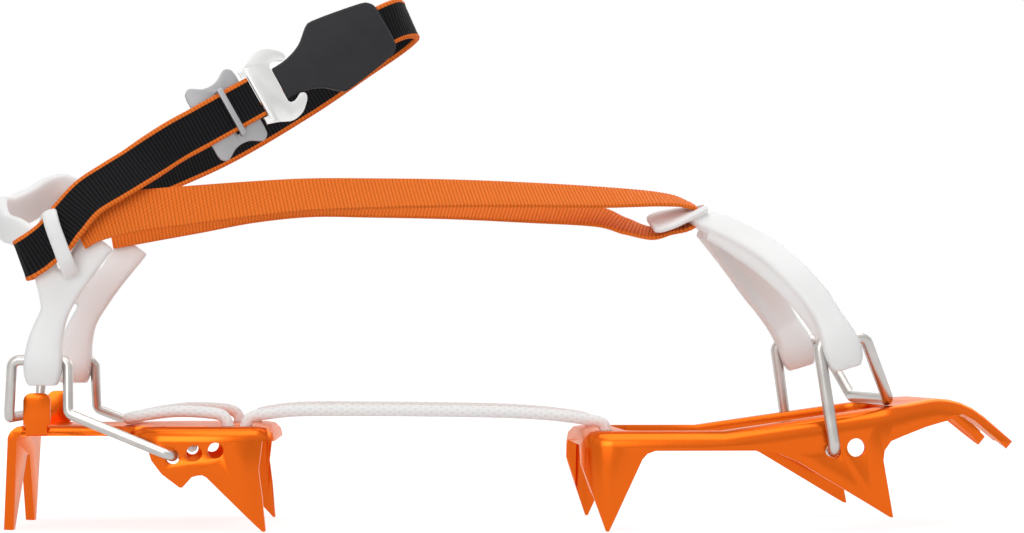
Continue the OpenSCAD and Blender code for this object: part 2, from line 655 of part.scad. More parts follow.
// Barrel knot round the cord's two ends, under the toe frame's web
knot_d = 7.4;
knot_length = 12;
knot_clear = 0.05;
knot_round = 1.5;
module cord_knot()
    color(cord_white)
        translate([cord_hole_x, 0, cross_run_z - knot_drop])
            rotate([90, 0, 0])
                rotate_extrude()
                    difference() {
                        union() {
                            translate([0, -knot_length / 2 + knot_round])
                                square([knot_d / 2, knot_length - 2 * knot_round]);
                            translate([0, -knot_length / 2]) square([knot_d / 2 - knot_round, knot_length]);
                            for (end = [-1, 1])
                                translate([knot_d / 2 - knot_round, end * (knot_length / 2 - knot_round)])
                                    circle(knot_round);
                        }
                        translate([-knot_d, -knot_length])
                            square([knot_d + cord_d / 2 + knot_clear, 2 * knot_length]);
                    }

// Toe strap: from the heel cage's right tip over the toe cage's tongue, through the slot and back
right_end = [
    [-129.5, -42.2, 90.6], [-123.5, -41.8, 93.6], [-112, -39.2, 96.4], [-96, -35.6, 98.4],
    [-80, -32.8, 100.2], [-61, -29, 102]];
left_end = [[-127, 36.4, 94.4], [-112, 36.8, 97], [-98, 35.8, 99.2], [-80, 32.6, 102], [-61, 27, 103.2]];
// Over the tongue, down through the slot and back below, from the tongue's middle. Each row ends with the
// roll of the way there, and the strap's own roll.
loop_rows = [
    [-31, -6.2, 4.4, 0, 30.7], [-19, -3, 4.8, 9, 25], [-11, -1.4, 4.6, 16, 20], [-5, -0.4, 3.7, 14, 15],
    [-1, 0, 2.3, 8, 10], [1, 0, 1.2, 8, 9], [1.6, 0.1, -0.8, 8, 9], [0.8, 0.2, -3.2, 8, 10],
    [-2, 0.4, -4.7, 9, 12], [-7, 0.8, -5.8, 15, 15], [-13, 1.5, -7.2, 15, 18], [-21, 3.6, -4.8, 7, 25],
    [-31, 6.2, -1, 0, 30.7]];
function on_loop(row) = tongue_mid + [
    row[0], row[1] * cos(row[3]) - row[2] * sin(row[3]), row[1] * sin(row[3]) + row[2] * cos(row[3])];
loop_path = [for (row = loop_rows) on_loop(row)];
loop_across = [for (row = loop_rows) rolled(row[4])];
// Straight between two stretches, with a slight crown
seam = 1;
crown = 0.85;
function run_between(from, to) = [
    for (t = [0, 0.225, 0.5, 0.78, 1]) from * (1 - t) + to * t + [0, 0, crown * sin(180 * t)]];
right_run = run_between([seam - 61, -28.8, 102], loop_path[0] - [seam, 0.3, 0]);
left_run = run_between([seam - 61, 26.7, 103.2], loop_path[len(loop_path) - 1] + [-1.3 * seam, 0.3, 0.2]);
upright = [0, 0, 1];
function lean_over(from, to, count) = [
    for (i = [0 : count - 1]) let (t = i / (count - 1)) unit(from * (1 - t) + to * t)];
lean_mid = unit([0, 0.62, 0.78]);
lean_half = rolled(30.7);
module strap_run(points, from, to)
    band_along(smooth(points, 2), lean_over(from, to, 2 * len(points) - 1), web_width, web_thick);
module right_toe_strap() color(web_orange) strap_run(right_run, lean_mid, lean_half);
module left_toe_strap() color(web_orange) strap_run(left_run, lean_mid, lean_half);
module right_toe_strap_end() color(web_orange) strap_run(right_end, upright, lean_mid);
module left_toe_strap_end() color(web_orange) strap_run(left_end, upright, lean_mid);
module toe_strap_loop()
    color(web_orange) band_along(smooth(loop_path, 2), smooth(loop_across, 2), web_width, web_thick);

// Ankle strap: round the cage's right branch, out from under the bridge to the buckle, and from the pull
// tab round to the left side
ankle_rise = 30;
ankle_yaw = 12.7;
buckle_centre = [-84.7, -30.5, 127.2];
module on_ankle_line()
    translate(buckle_centre) rotate([0, -ankle_rise, ankle_yaw]) rotate([90, 0, 0]) children();
ankle_along = [cos(ankle_rise) * cos(ankle_yaw), cos(ankle_rise) * sin(ankle_yaw), sin(ankle_rise)];
ankle_out = [sin(ankle_yaw), -cos(ankle_yaw), 0];
function ankle_point(along, out) = buckle_centre + along * ankle_along + out * ankle_out;
hook_bar_d = 2;
hook_start = 11.4;
// From the middle of the hook's bar to the strap that holds it
bar_room = hook_bar_d / 2 + 0.35;
ankle_right_path = [
    [-145.4, -36.2, 79.6], [-146.8, -37.1, 78.3], [-147.4, -39, 77.9], [-146.4, -41.5, 78.8],
    [-144, -42.7, 81], [-140.6, -43, 84.2], [-135.5, -43.9, 88.6], [-131.4, -44.35, 94.4],
    [-125.6, -43.6, 100.2], [-118.2, -41.4, 105.4], [-112, -38.8, 109.6],
    ankle_point(-20, 0), ankle_point(-10, 0), ankle_point(0, 0), ankle_point(hook_start - bar_room, 0)];
// Leans on the toe strap where it crosses it
lean_on = [0, 0.3, 1];
strap_fold = [-0.67, 0, 0.74];
ankle_right_across = [
    strap_fold, strap_fold, strap_fold, strap_fold, strap_fold, upright, upright,
    unit([0, 0.15, 1]), unit(lean_on), unit(lean_on), unit(lean_on),
    upright, upright, upright, upright];
module ankle_strap_right()
    color(web_black)
        band_along(smooth(ankle_right_path, 2), smooth(ankle_right_across, 2), web_width, web_thick);
tab_root = 21;
ankle_left_path = [
    ankle_point(tab_root + 9, -tab_thick / 2 - web_thick / 2 - 0.3),
    ankle_point(tab_root + 30, -tab_thick / 2 - web_thick / 2 - 0.3),
    [-33.5, -14, 157.6], [-29.8, -6, 159], [-29.4, 2, 158.6], [-33.4, 8.6, 155.8], [-45, 13, 148.2],
    [-64, 18, 135.6],
    [-90, 26, 121], [-117, 33.5, 109.6], [-134, 34.8, 103], [-143, 32.4, 100], [-148, 26, 98.6]];
ankle_left_across = concat(
    [upright, upright], [for (lean = [0.2, 0.42, 0.42, 0.3, 0.1]) unit([-lean, 0, 1])],
    [for (i = [7 : len(ankle_left_path) - 1]) upright]);
module ankle_strap_left()
    color(web_black)
        band_along(smooth(ankle_left_path, 2), smooth(ankle_left_across, 2), web_width, web_thick);

// Buckle slider: a plate with finger wings behind the strap, and a bar lanced out of it in front
wing_dip = 2.4;
wing_end = -slider_length / 2;
wing_corner = [
    [wing_end, 1], [wing_end, buckle_half - 2.8], [wing_end + 0.8, buckle_half - 0.7],
    [wing_end + 2.3, buckle_half], [wing_end + 4.2, buckle_half - 1], [wing_end + 6, buckle_half - 2],
    [0, buckle_half - wing_dip]];
wing_side = smooth(concat(wing_corner, [for (p = reversed(wing_corner)) if (p[0] < 0) [-p[0], p[1]]]), 2);
strap_gate = web_width + 1;
bar_at = 1.4;
bar_wide = 1.8;
bar_foot = 0.9;
strap_side = web_thick / 2 + 0.3;
module slider_outline()
    difference() {
        polygon(concat(wing_side, [for (p = reversed(wing_side)) [p[0], -p[1]]]));
        translate([bar_at, 0]) square([bar_wide + 1, strap_gate], center = true);
    }
module buckle_slider()
    color(wire_grey)
        on_ankle_line()
            translate([-0.6, -0.5, 0]) {
                translate([0, 0, -strap_side - buckle_sheet]) linear_extrude(buckle_sheet) slider_outline();
                translate([bar_at - bar_wide / 2, -strap_gate / 2 - bar_foot, strap_side])
                    cube([bar_wide, strap_gate + 2 * bar_foot, 1.2]);
                for (side = [-1, 1])
                    translate([bar_at - bar_wide / 2, side * (strap_gate + bar_foot) / 2 - bar_foot / 2, 0])
                        translate([0, 0, -strap_side - 0.4])
                            cube([bar_wide, bar_foot, 2 * strap_side + 0.8]);
            }

// Buckle hook: a round bar that the strap loops on, and a plate with two noses round the tab's neck
throat_start = 18;
neck_half = 5.1;
throat_half = neck_half + 0.5;
ear_half = web_width / 2 + 0.4;
bar_length = 18;
nose_edge = smooth([
    [hook_start - 2.7, 9], [hook_start - 0.7, 9.6], [hook_start + 1.4, buckle_half - 2.1],
    [hook_start + 4.3, buckle_half - 0.7], [hook_start + 6.5, buckle_half - 0.6],
    [hook_start + 8.9, buckle_half - 1.3], [hook_start + 10.8, buckle_half - 2.8],
    [hook_start + 12.2, throat_half + 2.5], [hook_start + 12.6, throat_half + 0.9],
    [hook_start + 11.4, throat_half], [hook_start + 10.2, throat_half + 0.6],
    [hook_start + 8.8, throat_half + 1.2], [hook_start + 7.2, throat_half + 1.1]], 2);
hook_side = concat(
    [[hook_start - 0.9, ear_half], [hook_start - 2.6, ear_half]], nose_edge,
    [[throat_start, throat_half + 0.4]]);
module buckle_hook()
    color(wire_grey)
        on_ankle_line() {
            translate([0, 0, -buckle_sheet / 2])
                linear_extrude(buckle_sheet)
                    polygon(concat(hook_side, [for (p = reversed(hook_side)) [p[0], -p[1]]]));
            translate([hook_start, 0, 0])
                rotate([90, 0, 0]) cylinder(d = hook_bar_d, h = bar_length, center = true);
        }

// Pull tab on the strap's end, with a neck that lies in the hook's throat
tab_end = tab_root + tab_reach;
tab_side = smooth([
    [tab_root - 2.6, neck_half], [tab_root + 1.4, neck_half + 0.2], [tab_root + 5, neck_half + 1],
    [tab_root + 7.6, neck_half + 2], [tab_root + 9.6, neck_half + 3.2], [tab_root + 12, tab_half - 1.6],
    [tab_root + 13.8, tab_half - 0.3], [tab_root + 15.8, tab_half], [tab_root + 24, tab_half - 1.1],
    [tab_end - 4, tab_half - 2.5], [tab_end - 1.8, tab_half - 3.5], [tab_end - 0.6, tab_half - 5],
    [tab_end - 0.3, tab_half - 6.6]], 2);
module tab_outline()
    polygon(concat(tab_side, [for (p = reversed(tab_side)) [p[0], -p[1]]]));
module pull_tab()
    color(tab_black)
        on_ankle_line()
            translate([0, 0, -tab_thick / 2]) linear_extrude(tab_thick) tab_outline();

toe_frame();
heel_frame();
front_bail();
heel_bail();
toe_cage();
heel_cage();
link_cord();
cord_knot();
toe_strap_loop();
right_toe_strap();
left_toe_strap();
right_toe_strap_end();
left_toe_strap_end();
ankle_strap_right();
ankle_strap_left();
buckle_slider();
buckle_hook();
pull_tab();
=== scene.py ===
"""Looks of a strap-on mountaineering crampon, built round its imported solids. All lengths are in metres."""

import math

import bpy
from mathutils import Matrix, Vector


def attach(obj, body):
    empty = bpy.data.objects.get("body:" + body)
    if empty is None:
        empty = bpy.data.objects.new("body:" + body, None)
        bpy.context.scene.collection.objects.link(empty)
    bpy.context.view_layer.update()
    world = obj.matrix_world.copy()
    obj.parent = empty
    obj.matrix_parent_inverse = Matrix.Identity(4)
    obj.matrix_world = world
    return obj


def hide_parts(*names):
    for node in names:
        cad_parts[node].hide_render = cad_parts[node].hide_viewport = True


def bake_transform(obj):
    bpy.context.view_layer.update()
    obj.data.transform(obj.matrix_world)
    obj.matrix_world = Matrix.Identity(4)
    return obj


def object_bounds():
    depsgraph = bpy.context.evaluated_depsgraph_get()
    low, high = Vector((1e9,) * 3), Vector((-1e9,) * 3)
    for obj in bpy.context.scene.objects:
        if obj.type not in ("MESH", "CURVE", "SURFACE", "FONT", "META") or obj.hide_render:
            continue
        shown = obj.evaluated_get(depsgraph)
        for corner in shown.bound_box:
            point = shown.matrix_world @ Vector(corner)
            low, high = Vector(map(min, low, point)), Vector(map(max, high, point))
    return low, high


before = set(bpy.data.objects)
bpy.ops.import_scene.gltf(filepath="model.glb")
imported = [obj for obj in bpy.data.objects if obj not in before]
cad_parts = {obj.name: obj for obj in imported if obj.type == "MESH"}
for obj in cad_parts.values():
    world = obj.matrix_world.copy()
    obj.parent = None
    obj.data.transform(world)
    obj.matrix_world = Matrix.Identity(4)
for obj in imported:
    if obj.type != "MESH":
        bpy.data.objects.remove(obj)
CAD_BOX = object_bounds()

bl_info = {
    "name": "Crampon Looks",
    "version": (1, 0, 0),
    "blender": (4, 5, 0),
    "location": "3D View > Sidebar > Crampon",
    "description": "Dresses the solids of a strap-on crampon: anodised frames, wire bails, cages, webbing and cord",
    "category": "Object",
}

MM = 0.001
WELD = 1e-6

# Camera, from the photograph's frame
FRAME_WIDTH = 1024
FRAME_HEIGHT = 533
FOCAL_PX = 2745
STRAIGHT_AHEAD = (385, 357)
CAMERA_MM = (-36.7, -870.0, 52.5)
SENSOR_MM = 36.0

# Routes and sizes, in millimetres. They are the solids' own, apart from the heel cage's band and bar and the ankle
# strap's ends at that cage, which lie nearer to the photograph.
FRONT_BAIL = [(98.7, 40, 24.1), (98.7, 48, 24.1), (94, 46, 57), (108.5, 44, 58.5), (117.5, 33, 39.47)]
HEEL_BAIL = [
    (-100.2, 38.8, 22.8), (-100.2, 45.75, 22.8), (-131.5, 41, 35.5), (-132, 38.5, 51.5), (-148.8, 37, 51.5),
    (-149.8, 36, 34.25)]
FRONT_BEND = 2.9
HEEL_BEND = 2.3
# Between the stations along a moulded arm
ARM_STEP = 1.2
# Toe cage: the right arm from its sleeve to the top, then the left arm back
ARCH = [
    (102.9, -45.3, 49), (102.1, -45.4, 51.6), (100.9, -45.4, 55.4), (99.2, -45.4, 59.8), (97, -45.1, 64.4),
    (93.2, -43.5, 71), (87.5, -40, 78), (81.6, -33.5, 84.25), (75.2, -24, 89.45), (69, -12, 93.7), (64, 0, 97.2),
    (69, 12, 95.8), (75.2, 24, 91.1), (81.6, 33.5, 85), (87.5, 40, 78), (93.2, 43.5, 71), (97, 45.1, 64.4),
    (99.2, 45.4, 59.8), (100.9, 45.4, 55.4), (102.1, 45.4, 51.6), (102.9, 45.3, 49)]
ARCH_HALF_ACROSS = [
    (0.9, 0, 0.42), (0.92, 0, 0.4), (0.94, 0, 0.36), (0.96, 0, 0.3), (1, 0, 0.25), (0.95, 0.1, 0.35),
    (0.9, 0.15, 0.45), (0.9, 0.15, 0.45), (0.95, 0.1, 0.4), (1, 0.05, 0.35)]
ARCH_TOP_ACROSS = (1, 0, 0.15)
ARCH_TOP_WIDTH = 10
ARCH_TOP_THICK = 3.6
ARCH_HALF_WIDTH = [8.4, 11, 12, 10.6, 8.8, 8.6, 8.8, 9, 9.4, 10]
ARCH_HALF_THICK = [6, 8.4, 9.2, 8, 5.4, 3.8, 3.6, 3.6, 3.6, 3.6]
# The rolled rim along each arm's lower edge: its width at each point of the half arch
RIM_WIDTH = [1, 1, 1, 2, 3.6, 4.4, 4.6, 4.6, 4, 3]
RIM_THICK = 3
RIM_TURN = 42
# How far the rim's root lies inside the arm's edge, and inside its middle plane
RIM_INSET = 1.2
RIM_DEPTH = 0.5
TONGUE = (61, 0, 98.6)
TONGUE_TILT = 17
TONGUE_THICK = 2.6
# Along the tongue from its root, its width, and its roll in degrees
TONGUE_ROWS = [
    (4, 20, 2), (0, 20, 8), (-5, 20, 14), (-9, 20, 17), (-12, 18.6, 18), (-13.3, 17, 18), (-14, 14, 18)]
SLOT_ROLL = 8
SLOT_SIZE = (4.6, 14.2, 18)
SLOT_SHIFT = 1.1
# Heel cage: the two legs, the band from one leg round the heel to the other, and the bar over the strap
LEG_RIGHT = [
    (-139.4, -38.2, 44), (-139.4, -38.4, 47), (-139.2, -38.6, 51), (-138.6, -38.8, 57), (-136.3, -39, 64.8),
    (-133, -39, 71.8), (-129.2, -39, 78), (-125.6, -39, 83.8), (-122.4, -39, 88)]
LEG_LEFT = [
    (-138.9, 38.2, 44), (-138.9, 38.4, 47), (-138.7, 38.6, 51), (-138, 38.8, 57), (-135.4, 39, 64.8),
    (-131.2, 39, 72), (-126.6, 39, 79), (-122, 39.4, 85.5), (-119, 39.4, 89.4)]
LEG_ACROSS = (1, 0, 0.3)
LEG_WIDTH = [9, 11, 11.6, 10.4, 8.4, 8.4, 9, 10, 10]
LEG_THICK = [6.6, 8.6, 9, 7, 4.2, 3.6, 3.6, 3.6, 3.4]
HEEL_BAND = [
    (-135.8, -39.2, 66), (-137.2, -39.2, 73), (-139.2, -39.2, 80), (-142.2, -38.6, 85.8), (-147.4, -33.6, 90),
    (-153.2, -21, 92.4), (-156.6, -4, 97), (-156, 13, 98.6), (-152, 27, 101.8), (-146.5, 35.8, 106.2),
    (-140.6, 39, 106.6), (-137, 39.6, 96), (-135.6, 39.4, 82), (-135.4, 39.2, 70)]
HEEL_BAND_ACROSS = [
    (1, 0, 0.3), (1, 0, 0.35), (0.9, 0, 0.45), (0.6, 0, 0.75), (0.2, 0, 1), (0, 0, 1), (0, 0, 1), (0, 0, 1),
    (0.1, 0, 1), (0.3, 0, 1), (0.75, 0, 0.7), (1, 0, 0.1), (1, 0, 0), (1, 0, 0.1)]
HEEL_BAND_WIDTH = [7.8, 7.6, 7.6, 7.8, 8.4, 9, 11, 11, 11.4, 11.4, 10.6, 9, 8.6, 8.4]
BRIDGE = [
    (-140.6, -39.2, 84), (-139.4, -39.3, 89), (-138.2, -40.4, 93.2), (-137.2, -43.6, 95.4), (-136.6, -46.2, 94.4),
    (-135.6, -47, 91), (-133.6, -46.9, 85.6), (-132, -46.4, 81.2), (-130.9, -43.4, 78), (-131, -39.8, 76.8)]
BRIDGE_ACROSS = (1, 0, 0.42)
BRIDGE_WIDTH = 4.8
BRIDGE_THICK = 2.2
CORD_HALF = [
    (31, -0.5, 22.1), (31, -8, 22.1), (31, -18, 24.1), (31, -27, 24.3), (31, -29.5, 25.4), (31, -30, 29.4),
    (29.8, -30, 32.2), (25, -30, 33.4), (14, -30, 34.8), (0, -30, 35.6), (-20, -30.2, 36), (-40, -30.6, 36.2),
    (-62, -31, 36.2), (-72, -31.6, 35.3), (-77.4, -31.9, 34.1), (-79, -32, 30.9), (-79.8, -32.2, 26.4),
    (-83.4, -33.8, 26.4), (-84, -34, 30.9), (-85.6, -33.9, 34.5), (-91, -33.4, 35.7), (-100, -32, 36),
    (-108, -30.4, 35.1), (-113, -27.4, 34.2), (-115.2, -22, 33.7), (-115.5, -12, 33.7)]
# The braid's strands: from crossing to crossing, how many there are each way round, and their rise
BRAID_PITCH = 3.2
BRAID_STRANDS = 6
BRAID_RISE = 0.04
KNOT_CENTRE = (31, 0, 22.1)
KNOT_WRAPS = 3
KNOT_PITCH = 3.9
KNOT_REACH = 2.75
KNOT_CORD = (3.8, 1.85)
RIGHT_END = [
    (-129.5, -42.2, 90.6), (-123.5, -41.8, 93.6), (-112, -39.2, 96.4), (-96, -35.6, 98.4), (-80, -32.8, 100.2),
    (-61, -29, 102)]
LEFT_END = [(-127, 36.4, 94.4), (-112, 36.8, 97), (-98, 35.8, 99.2), (-80, 32.6, 102), (-61, 27, 103.2)]
RIGHT_RUN = [(-40, -23.8, 102.8), (-15.5, -17.65, 103.35), (9.4, -11.4, 103.3)]
LEFT_RUN = [(-40, 22.2, 102.5), (-15.5, 16.6, 101.35), (9.4, 10.9, 99.5)]
# From the tongue's middle, with the roll of the way and of the strap there, in degrees
LOOP = [
    (-31, -6.2, 4.4, 0, 30.7), (-19, -3, 4.8, 9, 25), (-11, -1.4, 4.6, 16, 20), (-5, -0.4, 3.7, 14, 15),
    (-1, 0, 2.3, 8, 10), (1, 0, 1.2, 8, 9), (1.6, 0.1, -0.8, 8, 9), (0.8, 0.2, -3.2, 8, 10),
    (-2, 0.4, -4.7, 9, 12), (-7, 0.8, -5.8, 15, 15), (-13, 1.5, -7.2, 15, 18), (-21, 3.6, -4.8, 7, 25),
    (-31, 6.2, -1, 0, 30.7)]
UPRIGHT = (0, 0, 1)
LEAN_MID = (0, 0.6222, 0.7828)
LEAN_HALF = (0, 0.8601, 0.5101)
BUCKLE_CENTRE = (-84.7, -30.5, 127.2)
ANKLE_ALONG = (0.84484, 0.19039, 0.5)
ANKLE_OUT = (0.21985, -0.97553, 0)
ANKLE_RIGHT = [
    (-143.4, -36.2, 82.4), (-145, -37.1, 81.8), (-145.7, -39, 81.5), (-144.9, -41.5, 81.7), (-143.2, -42.7, 82.6),
    (-140.2, -43, 84.6), (-135.5, -43.9, 88.4), (-131.4, -44.35, 93.6), (-125.6, -43.6, 100.2),
    (-118.2, -41.4, 105.4), (-112, -38.8, 109.6)]
LEAN_ON = (0, 0.3, 1)
ANKLE_RIGHT_ACROSS = (
    [(-0.35, 0, 0.94)] * 4 + [(-0.5, 0, 0.87)] + [UPRIGHT] * 2 + [(0, 0.15, 1)] + [LEAN_ON] * 3 + [UPRIGHT] * 4)
ANKLE_LEFT = [
    (-33.5, -14, 157.6), (-29.8, -6, 159), (-29.4, 2, 158.6), (-33.4, 8.6, 155.8), (-45, 13, 148.2), (-64, 18, 135.6),
    (-90, 26, 121), (-117, 33.5, 109.6), (-130, 34.8, 104), (-136, 34.8, 101), (-140.6, 34.6, 98.6)]
ANKLE_LEFT_ACROSS = [UPRIGHT] * 2 + [(-lean, 0, 1) for lean in (0.2, 0.42, 0.42, 0.3, 0.1)] + [UPRIGHT] * 6
# Where the toe strap's stretches meet, towards its front and towards its heel
FRONT_SEAM_X = -25
HEEL_SEAM_X = -70
# Stations along a strap for each of its ribs
STEPS_A_RIB = 5


class CramponSizes(bpy.types.PropertyGroup):
    """Sizes of the dressed pieces"""

    web_width: bpy.props.FloatProperty(
        name="Webbing Width", description="Width of both straps", default=13 * MM, unit="LENGTH")
    web_thick: bpy.props.FloatProperty(
        name="Webbing Thickness", description="Thickness of both straps", default=1.4 * MM, unit="LENGTH")
    rib_pitch: bpy.props.FloatProperty(
        name="Rib Pitch", description="From rib to rib along a strap", default=1.15 * MM, unit="LENGTH")
    rib_height: bpy.props.FloatProperty(
        name="Rib Height", description="Rise of a rib over the webbing", default=0.09 * MM, unit="LENGTH")
    edge_bead: bpy.props.FloatProperty(
        name="Edge Bead", description="Extra thickness of the ankle strap's rolled edges, as a share",
        default=0.45, subtype="FACTOR")
    cord_diameter: bpy.props.FloatProperty(
        name="Cord Diameter", description="Diameter of the lacing cord", default=3.6 * MM, unit="LENGTH")
    front_wire: bpy.props.FloatProperty(
        name="Front Wire", description="Diameter of the front bail's wire", default=3.6 * MM, unit="LENGTH")
    heel_wire: bpy.props.FloatProperty(
        name="Heel Wire", description="Diameter of the heel bail's wire", default=3.1 * MM, unit="LENGTH")
    cage_thick: bpy.props.FloatProperty(
        name="Cage Thickness", description="Thickness of the cages' arms", default=3.6 * MM, unit="LENGTH")
    sheet_edge: bpy.props.FloatProperty(
        name="Sheet Edge", description="Rounding of the frames' cut edges", default=0.35 * MM, unit="LENGTH")


class CramponColours(bpy.types.PropertyGroup):
    """Colours of the finishes"""

    anodised: bpy.props.FloatVectorProperty(
        name="Anodised Orange", description="Frames", default=(0.76, 0.123, 0.0045), subtype="COLOR")
    web_orange: bpy.props.FloatVectorProperty(
        name="Orange Webbing", description="Toe strap, and the ankle strap's edges",
        default=(0.95, 0.205, 0.025), subtype="COLOR")
    web_black: bpy.props.FloatVectorProperty(
        name="Black Webbing", description="Ankle strap's face", default=(0.0058, 0.0058, 0.0068), subtype="COLOR")
    plastic: bpy.props.FloatVectorProperty(
        name="Milky Plastic", description="Cages", default=(0.91, 0.915, 0.91), subtype="COLOR")
    cord: bpy.props.FloatVectorProperty(
        name="White Cord", description="Lacing cord", default=(0.95, 0.95, 0.94), subtype="COLOR")
    steel: bpy.props.FloatVectorProperty(
        name="Drawn Steel", description="Bails", default=(0.56, 0.535, 0.51), subtype="COLOR")
    satin: bpy.props.FloatVectorProperty(
        name="Satin Alloy", description="Buckle's hook", default=(0.81, 0.81, 0.80), subtype="COLOR")
    matte: bpy.props.FloatVectorProperty(
        name="Matte Alloy", description="Buckle's slider", default=(0.40, 0.40, 0.41), subtype="COLOR")
    charcoal: bpy.props.FloatVectorProperty(
        name="Charcoal", description="Pull tab", default=(0.026, 0.026, 0.029), subtype="COLOR")


class CramponStage(bpy.types.PropertyGroup):
    """Floor and light"""

    floor_size: bpy.props.FloatProperty(
        name="Floor Size", description="Side of the floor", default=12.0, unit="LENGTH")
    world_light: bpy.props.FloatProperty(
        name="World Light", description="Strength of the even light round the part", default=0.30)
    room_dark: bpy.props.FloatProperty(
        name="Room Dark", description="Brightness of the room in front as metal mirrors it", default=0.72)
    key_power: bpy.props.FloatProperty(
        name="Key Power", description="Power of the lamp overhead", default=4.0, unit="POWER")
    front_power: bpy.props.FloatProperty(
        name="Front Power", description="Power of the lamp by the camera", default=4.5, unit="POWER")
    rim_power: bpy.props.FloatProperty(
        name="Rim Power", description="Power of the lamp behind", default=2.5, unit="POWER")


def sizes():
    return bpy.context.scene.crampon_sizes


def colours():
    return bpy.context.scene.crampon_colours


# Points, routes and rings

def metres(points):
    return [Vector(p) * MM for p in points]


def mirrored(points):
    return [(x, -y, z) for x, y, z in points]


def there_and_back(half):
    """The right half of a route, then its mirror image."""
    return list(half) + mirrored(reversed(half))


def ankle_point(along, out):
    return tuple(c + a * along + o * out for c, a, o in zip(BUCKLE_CENTRE, ANKLE_ALONG, ANKLE_OUT))


def spline(list_of, at):
    """A value on the smooth curve through a list of vectors or numbers."""
    last = len(list_of) - 1
    i = min(int(at), last - 1)
    t = at - i
    a, b, c, d = (list_of[max(0, min(last, k))] for k in (i - 1, i, i + 1, i + 2))
    return 0.5 * (2 * b + (c - a) * t + (2 * a - 5 * b + 4 * c - d) * t * t + (3 * b - a - 3 * c + d) * t ** 3)


class Station:
    """One place on a route: its point, its direction, its distance from the start and where the width lies."""

    def __init__(self, point, heading, distance, side, at):
        self.point = point
        self.heading = heading
        self.distance = distance
        self.side = side
        self.out = heading.cross(side)
        self.at = at


def walk(points, step, across=None):
    """Stations at even steps along a smooth route through the points."""
    fine = 24
    nudge = 0.02
    count = (len(points) - 1) * fine
    spots = [spline(points, i / fine) for i in range(count + 1)]
    run = [0.0]
    for a, b in zip(spots, spots[1:]):
        run.append(run[-1] + (b - a).length)
    steps = max(2, round(run[-1] / step))
    stations = []
    k = 0
    side = None
    for n in range(steps + 1):
        goal = run[-1] * n / steps
        while k < count - 1 and run[k + 1] < goal:
            k += 1
        share = (goal - run[k]) / max(run[k + 1] - run[k], 1e-12)
        at = (k + share) / fine
        ahead = spline(points, min(at + nudge, len(points) - 1))
        heading = (ahead - spline(points, max(at - nudge, 0))).normalized()
        if across:
            side = spline(across, at)
        elif side is None:
            side = heading.orthogonal()
        side = (side - heading * side.dot(heading)).normalized()
        stations.append(Station(spline(points, at), heading, goal, side, at))
    return stations


def deselect():
    if bpy.context.object and bpy.context.object.mode != "OBJECT":
        bpy.ops.object.mode_set(mode="OBJECT")
    bpy.ops.object.select_all(action="DESELECT")


def make_active(piece):
    deselect()
    piece.select_set(True)
    bpy.context.view_layer.objects.active = piece


def apply_modifiers(piece):
    make_active(piece)
    for name in [m.name for m in piece.modifiers]:
        bpy.ops.object.modifier_apply(modifier=name)


def smooth_shade(piece, angle=50):
    make_active(piece)
    bpy.ops.object.shade_smooth_by_angle(angle=math.radians(angle))


def round_edges(piece, width, angle, segments=2):
    """Rounds the sharp edges, and shades the rest smooth."""
    bevel = piece.modifiers.new("edges", "BEVEL")
    bevel.width = width
    bevel.segments = segments
    bevel.limit_method = "ANGLE"
    bevel.angle_limit = math.radians(angle)
    apply_modifiers(piece)
    smooth_shade(piece, angle)


def sleeve_over(name, rings, distances):
    """A closed skin over rings of equally many points, with UVs in metres along it and a share round it."""
    turns = len(rings[0])
    rows = len(rings)
    deselect()
    bpy.ops.mesh.primitive_grid_add(x_subdivisions=turns, y_subdivisions=rows - 1, size=1)
    piece = bpy.context.object
    piece.name = name
    mesh = piece.data
    columns = turns + 1
    if len(mesh.vertices) != columns * rows:
        raise RuntimeError(f"{name}: the grid has {len(mesh.vertices)} points, not {columns * rows}")
    flat = []
    for ring in rings:
        for point in ring + ring[:1]:
            flat.extend(point)
    mesh.vertices.foreach_set("co", flat)
    layer = mesh.uv_layers.active.data
    for loop in mesh.loops:
        row, column = divmod(loop.vertex_index, columns)
        layer[loop.index].uv = (distances[row], column / turns)
    mesh.update()
    bpy.ops.object.mode_set(mode="EDIT")
    bpy.ops.mesh.select_all(action="SELECT")
    bpy.ops.mesh.remove_doubles(threshold=WELD)
    bpy.ops.mesh.select_all(action="DESELECT")
    bpy.ops.mesh.select_mode(type="EDGE")
    bpy.ops.mesh.select_non_manifold()
    bpy.ops.mesh.fill_holes(sides=0)
    bpy.ops.mesh.select_all(action="SELECT")
    bpy.ops.mesh.normals_make_consistent(inside=False)
    bpy.ops.mesh.select_mode(type="VERT")
    bpy.ops.object.mode_set(mode="OBJECT")
    return piece


def rounded_ring(station, width, thick, turns=20, square=5.0):
    """A rounded oblong across a route."""
    ring = []
    for k in range(turns):
        a = 2 * math.pi * (k + 0.5) / turns
        y, z = math.cos(a), math.sin(a)
        grow = (abs(y) ** square + abs(z) ** square) ** (-1 / square)
        ring.append(station.point + station.side * (width / 2 * y * grow) + station.out * (thick / 2 * z * grow))
    return ring


def round_ring(station, radius, turns, swell):
    """A circle across a route, with a rise that varies along and round it."""
    ring = []
    for k in range(turns):
        a = 2 * math.pi * k / turns
        r = radius + swell(station.distance, k / turns)
        ring.append(station.point + (station.side * math.cos(a) + station.out * math.sin(a)) * r)
    return ring


def arm(name, points, across, widths, thicks):
    """A moulded arm with round edges along a route. Its width and thickness are given at each point."""
    ways = [Vector(a).normalized() for a in across]
    stations = walk(metres(points), ARM_STEP * MM, ways)
    rings = [rounded_ring(s, spline(widths, s.at) * MM, spline(thicks, s.at) * MM) for s in stations]
    return sleeve_over(name, rings, [s.distance for s in stations])


